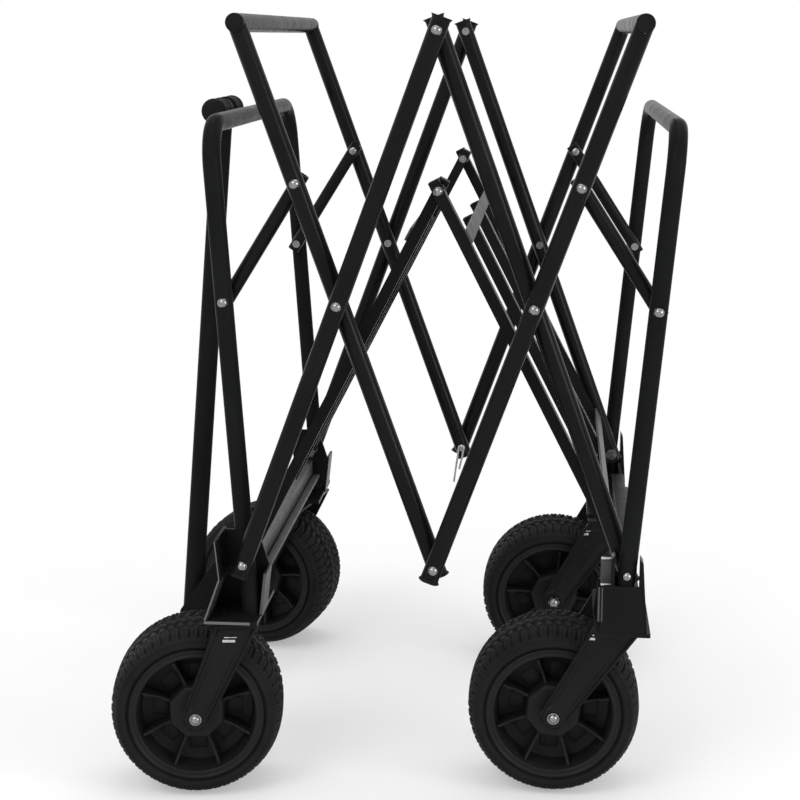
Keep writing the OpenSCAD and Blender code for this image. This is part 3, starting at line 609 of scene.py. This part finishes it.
def arm_height(s, t):
    """Height of the stamped face in mm, with s down the arm from 0 to 1 and t across it from -1 to 1."""
    wide = abs(t)
    border = BORDER * smoothstep(0.78, 0.88, wide) * (1 - 0.5 * smoothstep(0.95, 1.0, wide))
    panel = smoothstep(0.22, 0.29, s) * (1 - smoothstep(0.75, 0.84, s)) * (1 - smoothstep(0.44, 0.60, wide))
    brow = smoothstep(0.0, 0.02, s) * (1 - smoothstep(0.07, 0.10, s)) * (1 - smoothstep(0.70, 0.80, wide))
    return SUNK + border + PANEL * panel + BROW * brow


def arm_rows(top, axle, crown_w):
    """Both edges of an arm, from the crown down and round its end, with the share of its length so far."""
    run = (axle - top).normalized()
    normal = Vector((-run.y, run.x))
    if normal.x > 0:
        normal = -normal
    corners = Vector((top.x - crown_w / 2, top.y)), Vector((top.x + crown_w / 2, top.y))
    feet = axle + normal * ARM_END_R, axle - normal * ARM_END_R
    length = (axle - top).length
    total = length + ARM_END_R
    rows = []
    for i in range(ARM_STEPS + 1):
        u = i / ARM_STEPS
        rows.append((corners[0].lerp(feet[0], u), corners[1].lerp(feet[1], u), u * length / total))
    for i in range(1, END_STEPS + 1):
        a = END_SWEEP * i / END_STEPS
        aside, down = ARM_END_R * math.cos(a) * normal, ARM_END_R * math.sin(a) * run
        rows.append((axle + down + aside, axle + down - aside, (length + ARM_END_R * math.sin(a)) / total))
    return rows


def arm_face(s, t, near_axle, past_axle):
    """Height of an arm's outer face in mm, with the flat boss round the axle and the rim round the end."""
    calm = smoothstep(*AXLE_BOSS_EDGE, near_axle)
    rim = smoothstep(*END_RIM_EDGE, near_axle) if past_axle else 0.0
    height = arm_height(s, t) * calm + (1 - calm) * AXLE_BOSS
    return min(max(height, END_RIM * rim), FORK_T - FACE_GAP)


def add_arm(bm, top, axle, crown_w, inner, face):
    """One stamped fork arm, FORK_T thick from inner, on the +Y or -Y face of the wheel."""
    rows = arm_rows(top, axle, crown_w)
    front, back = [], []
    for i, (left, right, s) in enumerate(rows):
        front_row, back_row = [], []
        for t in ARM_ACROSS:
            p = left.lerp(right, (t + 1) / 2)
            height = arm_face(s, t, (p - axle).length, i > ARM_STEPS)
            front_row.append(bm.verts.new((p.x * MM, face * (inner + height) * MM, p.y * MM)))
            back_row.append(bm.verts.new((p.x * MM, face * inner * MM, p.y * MM)))
        front.append(front_row)
        back.append(back_row)
    last_row, last_col = len(rows) - 1, len(ARM_ACROSS) - 1
    for i in range(last_row):
        for j in range(last_col):
            bm.faces.new((front[i][j], front[i + 1][j], front[i + 1][j + 1], front[i][j + 1]))
            bm.faces.new((back[i][j], back[i][j + 1], back[i + 1][j + 1], back[i + 1][j]))
        bm.faces.new((front[i][0], back[i][0], back[i + 1][0], front[i + 1][0]))
        bm.faces.new((front[i][last_col], front[i + 1][last_col], back[i + 1][last_col], back[i][last_col]))
    for j in range(last_col):
        bm.faces.new((front[0][j], front[0][j + 1], back[0][j + 1], back[0][j]))
        bm.faces.new((front[last_row][j], back[last_row][j], back[last_row][j + 1], front[last_row][j + 1]))


def make_fork(end, side, node, place, crown_x, axle, body):
    """Crown plate with rounded edges and two stamped arms, in the fork's own frame, in mm."""
    crown_w, glint_half, glint_shift = FORK_KINDS[end]
    crown_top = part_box(node)[1].z / MM
    rear_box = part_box("rear_fork_near")
    outer = (rear_box[1].y - rear_box[0].y) / 2 / MM
    inner = outer - FORK_T
    top = Vector((crown_x, crown_top - ARM_DROP))
    bm = bmesh.new()
    for face in (-1, 1):
        add_arm(bm, top, axle, crown_w - ARM_INSET, inner, face)
    add_box(bm, ((crown_x - crown_w / 2) * MM, -outer * MM, (crown_top - CROWN_T) * MM),
            ((crown_x + crown_w / 2) * MM, outer * MM, crown_top * MM), CROWN_ROUND * MM)
    mesh = mesh_from(bm, f"{end}_fork", sharp_deg=38)
    mesh.transform(place)
    add_piece(f"{end}_fork_stamped_{side}", mesh, fork_paint, body, [node])
    # Bright zinc bars on each arm below the crown: painted glints
    painted_glints = bmesh.new()
    for face in (-1, 1):
        for rise, thick in ARM_GLINT_BARS:
            x = crown_x + (axle.x - top.x) / (axle.y - top.y) * rise - glint_shift
            z = crown_top + rise
            low, high = sorted(face * (inner + reach) for reach in ARM_GLINT_SIDES)
            add_box(painted_glints, ((x - glint_half) * MM, low * MM, (z - thick) * MM),
                    ((x + glint_half) * MM, high * MM, (z + thick) * MM), ARM_GLINT_ROUND * MM)
    mesh = mesh_from(painted_glints, f"{end}_fork_painted_glints", sharp_deg=50)
    mesh.transform(place)
    add_piece(f"{end}_fork_painted_glints_{side}", mesh, bright, body)


for side in SIDES:
    king = pivots[f"caster_swivel_{side}"]
    spin = f"front_spin_{side}"
    king_place = Matrix.Translation((king.x, king.y, 0)) @ Matrix.Rotation(spin_turn(spin), 4, "Z")
    axle_local = king_place.inverted() @ pivots[spin]
    make_fork("caster", side, f"caster_fork_{side}", king_place, 0,
              Vector((axle_local.x, axle_local.z)) / MM, f"caster_{side}")
    axle = pivots[f"rear_spin_{side}"]
    crown_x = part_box(f"rear_fork_{side}")[1].x / MM - FORK_KINDS["rear"][0] / 2
    make_fork("rear", side, f"rear_fork_{side}", Matrix.Translation((0, axle.y, 0)), crown_x,
              Vector((axle.x, axle.z)) / MM, "rear_end")


# Acorn tops of the nuts on the inner ends of the axles, as (radius, height) in mm over the nut's face

ACORN = [(5.8, 0.0), (5.7, 1.6), (5.0, 3.6), (3.6, 5.2), (1.8, 6.0), (0.3, 6.2)]
NUT_FACE = 63.0
for end, side in WHEELS:
    spin = f"{end}_spin_{side}"
    inward = 1 if side == "near" else -1
    acorn = bmesh.new()
    lathe(acorn, [(r * MM, inward * (NUT_FACE + h) * MM) for r, h in ACORN], 48, False)
    mesh = mesh_from(acorn, "acorn_nut", sharp_deg=50)
    mesh.transform(Matrix.Translation(pivots[spin]) @ Matrix.Rotation(spin_turn(spin), 4, "Z"))
    body = f"caster_{side}" if end == "front" else "rear_end"
    add_piece(f"{end}_acorn_{side}", mesh, rivet_steel, body)


# Plates with softened edges, made from the CAD shapes

SOFT_WIDTH = 0.6
SOFT_DEG = 30
# Distance in metres below which points are one, and angle below which faces are one
SAME_POINT = 1e-6
SAME_PLANE = math.radians(1.0)


def soften(node):
    """A copy of a CAD node whose sharp edges are rounded over, so that they catch the light."""
    source = nodes[node]
    bm = bmesh.new()
    bm.from_mesh(source.data)
    bmesh.ops.remove_doubles(bm, verts=bm.verts, dist=SAME_POINT)
    bmesh.ops.dissolve_limit(bm, angle_limit=SAME_PLANE, verts=bm.verts, edges=bm.edges)
    mesh = mesh_from(bm, f"{node}_soft", SOFT_DEG)
    body = source["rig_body"]
    slot = next(p["material_slot"] for p in frame["record"]["subparts"] if p["node"] == node)
    piece = add_piece(f"{node}_soft", mesh, SLOT_MATERIAL[slot], body, [node])
    rounding = piece.modifiers.new("rounding", "BEVEL")
    rounding.width = SOFT_WIDTH * MM
    rounding.segments = 2
    rounding.limit_method = "ANGLE"
    rounding.angle_limit = math.radians(SOFT_DEG)
    rounding.harden_normals = True


SOFT_PLATES = ["rear_bracket_near", "rear_bracket_far", "front_beam", "rear_beam", "handle_yoke",
               "floor_front_strips", "floor_rear_strips", "floor_front_bars", "floor_rear_bars",
               "floor_front_plugs", "floor_rear_plugs"]
for plate in SOFT_PLATES:
    soften(plate)


# End caps: each closes a rod and flares out in the plane of the scissors

CAP_LENGTH = 4.3
CAP_STEPS = 64
# Half width of a cap at each height over the tube's end, then in over its rim to the middle, in mm
CAP = [(0.0, 9.05), (0.8, 8.95), (1.8, 9.15), (2.8, 9.65), (3.6, 10.3), (4.0, 10.6), (CAP_LENGTH, 10.35),
       (CAP_LENGTH, 8.6), (CAP_LENGTH - 0.5, 8.0), (CAP_LENGTH - 0.5, 0.3)]
# How far a tube runs past its pivot, and the most a cap may reach across from its rod's middle, in mm
TUBE_TAIL = 9
LAYER_HALF = 9.2


def add_cap(bm, place):
    """One flared cap; the tube ends at its Z = 0 and runs down from there, and its Y is across the wagon."""
    rings = []
    for rise, half in CAP:
        ring = []
        for i in range(CAP_STEPS):
            a = 2 * math.pi * i / CAP_STEPS
            across = max(min(half * math.sin(a), LAYER_HALF), -LAYER_HALF)
            ring.append(bm.verts.new(place @ Vector((half * math.cos(a) * MM, across * MM, rise * MM))))
        rings.append(ring)
    for one, two in zip(rings, rings[1:]):
        for i in range(CAP_STEPS):
            k = (i + 1) % CAP_STEPS
            bm.faces.new((one[i], one[k], two[k], two[i]))
    bm.faces.new(rings[-1])


RAIL_CAP = [(9.0, 0.0), (9.0, 1.3), (8.2, 2.0), (7.2, 2.0), (6.8, 1.6), (0.3, 1.6)]


def add_disc(bm, centre, out, profile):
    """A turned button of (radius, height) points in mm, facing +Y or -Y."""
    ring = bmesh.new()
    lathe(ring, [(r * MM, out * h * MM) for r, h in profile], 64, False)
    bmesh.ops.transform(ring, matrix=Matrix.Translation(centre), verts=ring.verts)
    spare = bpy.data.meshes.new("disc")
    ring.to_mesh(spare)
    ring.free()
    bm.from_mesh(spare)
    bpy.data.meshes.remove(spare)


def end_place(inside, end, y):
    """Frame at a tube's end, TUBE_TAIL past the pivot at end, on the line that comes from inside."""
    inside = Vector((inside.x, y, inside.z))
    end = Vector((end.x, y, end.z))
    up = (end - inside).normalized()
    across = Vector((0, 1, 0))
    turn = Matrix((across.cross(up), across, up)).transposed().to_4x4()
    return Matrix.Translation(end + up * TUBE_TAIL * MM) @ turn


def middle(node):
    """Centre of a node's box."""
    low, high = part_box(node)
    return (low + high) / 2


high_centre = pivots["top_centre"]
low_centre = Vector((high_centre.x, 0, pivots["fold"].z))
CORNERS = {"front": pivots["fold"], "rear": pivots["rear_corner"]}
for end, corner in CORNERS.items():
    low_caps = bmesh.new()
    up_caps = bmesh.new()
    rail = middle(f"{end}_rail")
    rail_low, rail_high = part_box(f"{end}_rail")
    for side in SIDES:
        low_y = middle(f"{end}_low_rod_{side}").y
        up_y = middle(f"{end}_up_rod_{side}").y
        add_cap(low_caps, end_place(corner, high_centre, low_y))
        add_cap(low_caps, end_place(high_centre, corner, low_y))
        add_cap(up_caps, end_place(rail, low_centre, up_y))
        out = -1 if side == "near" else 1
        add_disc(up_caps, Vector((rail.x, rail_low.y if out < 0 else rail_high.y, rail.z)), out, RAIL_CAP)
    for rods, caps in (("low", low_caps), ("up", up_caps)):
        mesh = mesh_from(caps, f"{end}_{rods}_caps", sharp_deg=40)
        add_piece(f"{end}_{rods}_caps", mesh, plug_plastic, f"{end}_{rods}", [f"{end}_{rods}_plugs"])


# Small pressed details on the corner brackets

def add_detail(bm, end, out, low, high, bevel):
    """A bevelled box in mm: X from an end's corner pivot, Y from the wagon's middle, Z from the ground."""
    shift = Vector((CORNERS[end].x, 0, 0))
    y_low, y_high = sorted((out * low[1], out * high[1]))
    add_box(bm, shift + Vector((low[0], y_low, low[2])) * MM, shift + Vector((high[0], y_high, high[2])) * MM,
            bevel * MM)


def add_slope(bm, out, start, stop, thick, y_low, y_high, bevel):
    """A flat bar between two (x, z) points, thick in its own plane, in mm from the front corner in X."""
    run = Vector((stop[0] - start[0], 0, stop[1] - start[1]))
    mid = Vector((CORNERS["front"].x / MM + (start[0] + stop[0]) / 2, out * (y_low + y_high) / 2,
                  (start[1] + stop[1]) / 2))
    half = Vector((thick / 2, (y_high - y_low) / 2, run.length / 2)) * MM
    lean = Matrix.Rotation(math.atan2(run.x, run.z), 4, "Y")
    add_box(bm, -half, half, bevel * MM, Matrix.Translation(mid * MM) @ lean)


def trim_piece(name, bm, material, body):
    """A small added piece that stands for no CAD node."""
    add_piece(name, mesh_from(bm, name, sharp_deg=50), material, body)


FOOT_T = 4.0
foot_y = -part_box("front_bracket_near")[0].y / MM
foot_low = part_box("front_bracket_near")[0].z / MM
foot_top = foot_low + FOOT_T
# Outer face of the bracket's back web, and its cheeks' outer edges as (x, z) points from the corner
WEB_FACE = 233.0
LEFT_TOP, LEFT_KNEE, LEFT_FOOT = (-26.5, 275), (-22.5, 236), (-37.5, foot_top)
RIGHT_TOP, RIGHT_FOOT = (19.8, 237), (15.0, foot_top)
LEFT_Y = 291.6
RIGHT_Y = 268.3
# How far the lining of the left cheek lies in from the cheek's edge; its dark grey paints in the light on the
# cheek's inner face
LINING_IN = 1.9
# Boxes on the brackets, each as its low corner, its high corner and its rounding
WEB_SKIRT = (-37, WEB_FACE, foot_top - 0.3), (12.5, WEB_FACE + 1.2, foot_top + 9), 0.3
WEB_RIB = (-13.2, WEB_FACE, foot_top - 0.5), (-11.6, WEB_FACE + 2.4, foot_top + 19), 0.5
# The foot's front edge, in the light grey edge paint: a painted highlight
FOOT_EDGE_HIGHLIGHT = (-38.5, foot_y - 2.0, foot_low + 0.3), (8, foot_y + 0.08, foot_top - 0.3), 0.5
REAR_TAB = (-25, 273.5, 238.5), (-11.5, 276.0, 264), 0.5
# Two light grey strips down the rear bracket's face: painted highlights on its bends
REAR_BEND_HIGHLIGHTS = [((low, 289.2, 205), (high, 291.9, 240), 0.8) for low, high in ((-27.6, -25.6), (-24.4, -22.6))]
# Bright zinc bars just over and under the rear tab: painted glints
REAR_GLINT_BARS = [((-25, 273.2, low), (-12, 277.6, high), 1.0) for low, high in ((237, 239.5), (263.5, 266))]
# Bars along the cheeks, each as its two ends, its thickness, its two sides in Y and its rounding
# The lining bar's dark grey paints in the light that the left cheek's inner face catches from above
LIT_FACE_BAR = ((LEFT_FOOT[0] + LINING_IN, LEFT_FOOT[1]), (LEFT_KNEE[0] + LINING_IN, LEFT_KNEE[1] - 0.5), 0.6,
              WEB_FACE + 1.5, LEFT_Y - 0.5, 0.15)
# The lower and upper bars follow the left cheek's edge in the light grey edge paint: painted highlights
LOWER_CHEEK_HIGHLIGHT = LEFT_FOOT, LEFT_KNEE, 1.8, LEFT_Y - 1.0, LEFT_Y + 0.3, 0.3
UPPER_CHEEK_HIGHLIGHT = LEFT_KNEE, LEFT_TOP, 1.2, LEFT_Y - 1.0, LEFT_Y + 0.2, 0.3
# The right bar, in olive, is a painted reflection of the leg tube's edge
RIGHT_EDGE_HIGHLIGHT = RIGHT_FOOT, RIGHT_TOP, 3.2, RIGHT_Y - 1.0, RIGHT_Y + 0.4, 0.4
for side in SIDES:
    out = -1 if side == "near" else 1
    ribs = bmesh.new()
    add_detail(ribs, "front", out, *WEB_SKIRT)
    add_detail(ribs, "front", out, *WEB_RIB)
    trim_piece(f"front_bracket_ribs_{side}", ribs, plate_paint, "front_end")
    # Painted light: a dark grey lining on the left cheek's inner face
    lining = bmesh.new()
    add_slope(lining, out, *LIT_FACE_BAR)
    trim_piece(f"front_gusset_lining_{side}", lining, dark_grey_paint, "front_end")
    # Painted highlights: light grey bars on the foot's front edge and along the left cheek's edge
    lip = bmesh.new()
    add_detail(lip, "front", out, *FOOT_EDGE_HIGHLIGHT)
    add_slope(lip, out, *LOWER_CHEEK_HIGHLIGHT)
    add_slope(lip, out, *UPPER_CHEEK_HIGHLIGHT)
    trim_piece(f"front_foot_lip_{side}", lip, edge_paint, "front_end")
    # Painted reflection: an olive bar at the right cheek's edge, where the leg's edge catches the light
    edge = bmesh.new()
    add_slope(edge, out, *RIGHT_EDGE_HIGHLIGHT)
    trim_piece(f"front_cheek_edge_{side}", edge, olive_paint, "front_end")
    # The rear tab, with two light grey strips that paint highlights on the face's bends
    tab = bmesh.new()
    for box in (REAR_TAB, *REAR_BEND_HIGHLIGHTS):
        add_detail(tab, "rear", out, *box)
    trim_piece(f"rear_tab_{side}", tab, grey_paint, "rear_end")
    # Painted glints: bright zinc bars over and under the rear tab
    glint_bars = bmesh.new()
    for box in REAR_GLINT_BARS:
        add_detail(glint_bars, "rear", out, *box)
    trim_piece(f"rear_lips_{side}", glint_bars, bright, "rear_end")


# The front beam's lower flange, with a dark seam where it meets the beam

beam_low, beam_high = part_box("front_beam")
front_x = CORNERS["front"].x
LEDGE_T = 3.0
STRIP_INSET = 8
STRIP_SINK = 0.5
STRIP_ROUND = 0.12
seam = bmesh.new()
flange = bmesh.new()
# Each strip with where it starts and stops from the corner, and its rise over the ledge, in mm
for strip, start, stop, rise in ((seam, 0.1, 2.0, 0.3), (flange, 2.4, 9.8, 0.6)):
    low = (front_x + start * MM, beam_low.y + STRIP_INSET * MM, beam_low.z + (LEDGE_T - STRIP_SINK) * MM)
    high = (front_x + stop * MM, beam_high.y - STRIP_INSET * MM, beam_low.z + (LEDGE_T + rise) * MM)
    add_box(strip, low, high, STRIP_ROUND * MM)
trim_piece("front_beam_seam", seam, paint, "front_end")
trim_piece("front_beam_flange", flange, olive_paint, "front_end")


# Rivet tails on the inner faces of the end links, at their upper pivots

RIVET_TAIL = [(4.6, 0.0), (4.4, 0.7), (3.4, 1.4), (1.8, 1.8), (0.3, 1.9)]


def inner_face(node):
    """How far a node's innermost points lie from the wagon's middle plane."""
    place = nodes[node].matrix_world
    return min(abs((place @ v.co).y) for v in nodes[node].data.vertices)


link_top = middle("front_up_rivets")
for end, link_x in (("front", link_top.x), ("rear", 2 * high_centre.x - link_top.x)):
    tails = bmesh.new()
    for inward in (-1, 1):
        y = -inward * inner_face(f"{end}_links")
        add_disc(tails, Vector((link_x, y, link_top.z)), inward, RIVET_TAIL)
    trim_piece(f"{end}_link_tails", tails, rivet_steel, f"{end}_link")


# Split pin through the inner end of the far low centre rivet

WIRE_SIDES = 12
PIN_WIRE = 1.3
PIN_INSET = 11.6
# The pin's legs as (x, z) points, and its eye's radius, in mm, with the angles round the eye in degrees
SHORT_LEG = [(-2.5, -27), (1.0, -12)]
LONG_LEG = [(-4.2, -8), (-6.5, -24), (-9.0, -44)]
EYE_R = 3.2
EYE_TURNS = range(20, 161, 14)


def add_wire(bm, path, radius):
    """A round wire along a path of points, closed at both ends."""
    turns = [2 * math.pi * k / WIRE_SIDES for k in range(WIRE_SIDES)]
    rings = []
    for i, here in enumerate(path):
        ahead = (path[min(i + 1, len(path) - 1)] - path[max(i - 1, 0)]).normalized()
        one = ahead.cross(Vector((0, 1, 0))).normalized()
        two = ahead.cross(one)
        rings.append([bm.verts.new(here + radius * (math.cos(a) * one + math.sin(a) * two)) for a in turns])
    for first, second in zip(rings, rings[1:]):
        for k in range(WIRE_SIDES):
            j = (k + 1) % WIRE_SIDES
            bm.faces.new((first[k], first[j], second[j], second[k]))
    bm.faces.new(rings[0])
    bm.faces.new(rings[-1])


def pin_path(centre):
    """Short leg up, an eye over the rivet's end, then the long leg down, in mm from the rivet's axis."""
    eye = [(EYE_R * math.cos(a), EYE_R * math.sin(a)) for a in map(math.radians, EYE_TURNS)]
    return [centre + Vector((x * MM, 0, z * MM)) for x, z in SHORT_LEG + eye + LONG_LEG]


pin = bmesh.new()
tail_y = abs(middle("front_up_rod_far").y) - PIN_INSET * MM
add_wire(pin, pin_path(Vector((low_centre.x, tail_y, low_centre.z))), PIN_WIRE * MM)
add_piece("low_centre_pin", mesh_from(pin, "split_pin", sharp_deg=60), bright, "rear_up")


# Handle grip: two ribbed sleeves with flared ends

SLEEVE_START = 15.0
SLEEVE_BORE = 11.1
SLEEVE_R = 11.7
RIDGES = 6
RIDGE_STEPS = 8
RIDGE = 0.55
SWELL = 0.45


def sleeve_profile(half, end_r):
    """One sleeve as (radius, height) points in mm from the grip's middle out to half, end_r at its widest."""
    collar = SLEEVE_START
    profile = [(SLEEVE_BORE, collar), (end_r - 0.6, collar)]
    profile += [(end_r - 0.2, collar + 1), (end_r - 0.4, collar + 3)]
    start, stop = collar + 4, half - 9
    for i in range(RIDGES * RIDGE_STEPS + 1):
        t = i / (RIDGES * RIDGE_STEPS)
        swell = SWELL * math.sin(math.pi * t)
        rib = RIDGE * abs(math.sin(math.pi * RIDGES * t)) ** 0.6
        profile.append((SLEEVE_R + swell + rib, start + t * (stop - start)))
    profile += [(end_r - 0.8, half - 8), (end_r - 0.1, half - 6.5), (end_r - 0.1, half - 1.6)]
    profile += [(end_r - 1.5, half - 0.2), (end_r - 4, half), (0.4, half - 0.3)]
    return profile


def make_grip():
    """Both sleeves, as large as the CAD grip that they stand for."""
    low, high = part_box("handle_grip")
    profile = sleeve_profile((high.y - low.y) / 2 / MM, (high.z - low.z) / 2 / MM)
    bm = bmesh.new()
    for face in (-1, 1):
        lathe(bm, [(r * MM, face * h * MM) for r, h in profile], 72, False)
    bmesh.ops.transform(bm, matrix=Matrix.Translation((low + high) / 2), verts=bm.verts)
    mesh = mesh_from(bm, "grip", sharp_deg=45)
    add_piece("handle_grip_sleeves", mesh, grip_plastic, "handle", ["handle_grip"])


make_grip()


# Stage, light and camera, in metres and watts

FLOOR_SIZE = 14
FLOOR_DROP = 0.0002
WORLD_FILL = 0.80
# Each lamp with its place, the point it faces, its size and its power
LAMPS = [
    ("key", (-1.3, -2.4, 2.6), (0, 0, 0.4), 1.8, 32),
    ("fill", (2.6, -1.5, 1.1), (0, 0, 0.4), 1.3, 26),
    ("top", (0.1, 0.3, 2.9), (0, 0, 0.3), 2.2, 17),
]
# The camera's place and directions as fitted to the photograph, and its lens and sensor in mm
CAMERA_PLACE = (0.16168, -1.97052, 0.7626)
CAMERA_FORWARD = Vector((-0.0829276, 0.97651425, -0.19885406))
CAMERA_UP = Vector((-0.01992686, 0.19787662, 0.98002437))
LENS = 81
SENSOR = 36


def make_floor():
    bm = bmesh.new()
    bmesh.ops.create_grid(bm, x_segments=1, y_segments=1, size=FLOOR_SIZE)
    mesh = mesh_from(bm, "floor", sharp_deg=35)
    mesh.materials.append(floor_paint("pale_floor"))
    floor = link_object("floor", mesh)
    floor.location.z = -FLOOR_DROP


def make_world():
    """White for what the camera and reflections see, and a weaker fill for everything else."""
    world = bpy.data.worlds.new("studio")
    bpy.context.scene.world = world
    world.use_nodes = True
    tree = world.node_tree
    back = tree.nodes["Background"]
    back.inputs["Color"].default_value = (1, 1, 1, 1)
    strength = tree.nodes.new("ShaderNodeMapRange")
    strength.inputs["To Min"].default_value = WORLD_FILL
    strength.inputs["To Max"].default_value = 1.0
    tree.links.new(seen_directly(tree), strength.inputs["Value"])
    tree.links.new(strength.outputs["Result"], back.inputs["Strength"])


def add_light(name, place, target, size, power):
    data = bpy.data.lights.new(name, "AREA")
    data.shape = "DISK"
    data.size = size
    data.energy = power
    lamp = bpy.data.objects.new(name, data)
    lamp.location = place
    lamp.rotation_mode = "QUATERNION"
    lamp.rotation_quaternion = (Vector(target) - Vector(place)).to_track_quat("-Z", "Y")
    bpy.context.scene.collection.objects.link(lamp)


def make_camera():
    """The photograph's viewpoint: about as high as the frame's top, nearly square on to the near side."""
    right = CAMERA_FORWARD.cross(CAMERA_UP)
    turn = Matrix((right, CAMERA_UP, -CAMERA_FORWARD)).transposed().to_4x4()
    data = bpy.data.cameras.new("camera")
    data.lens = LENS
    data.sensor_width = SENSOR
    camera = bpy.data.objects.new("camera", data)
    camera.matrix_world = Matrix.Translation(CAMERA_PLACE) @ turn
    bpy.context.scene.collection.objects.link(camera)
    bpy.context.scene.camera = camera


make_floor()
make_world()
for lamp in LAMPS:
    add_light(*lamp)
make_camera()
bpy.context.scene.view_settings.view_transform = "Standard"
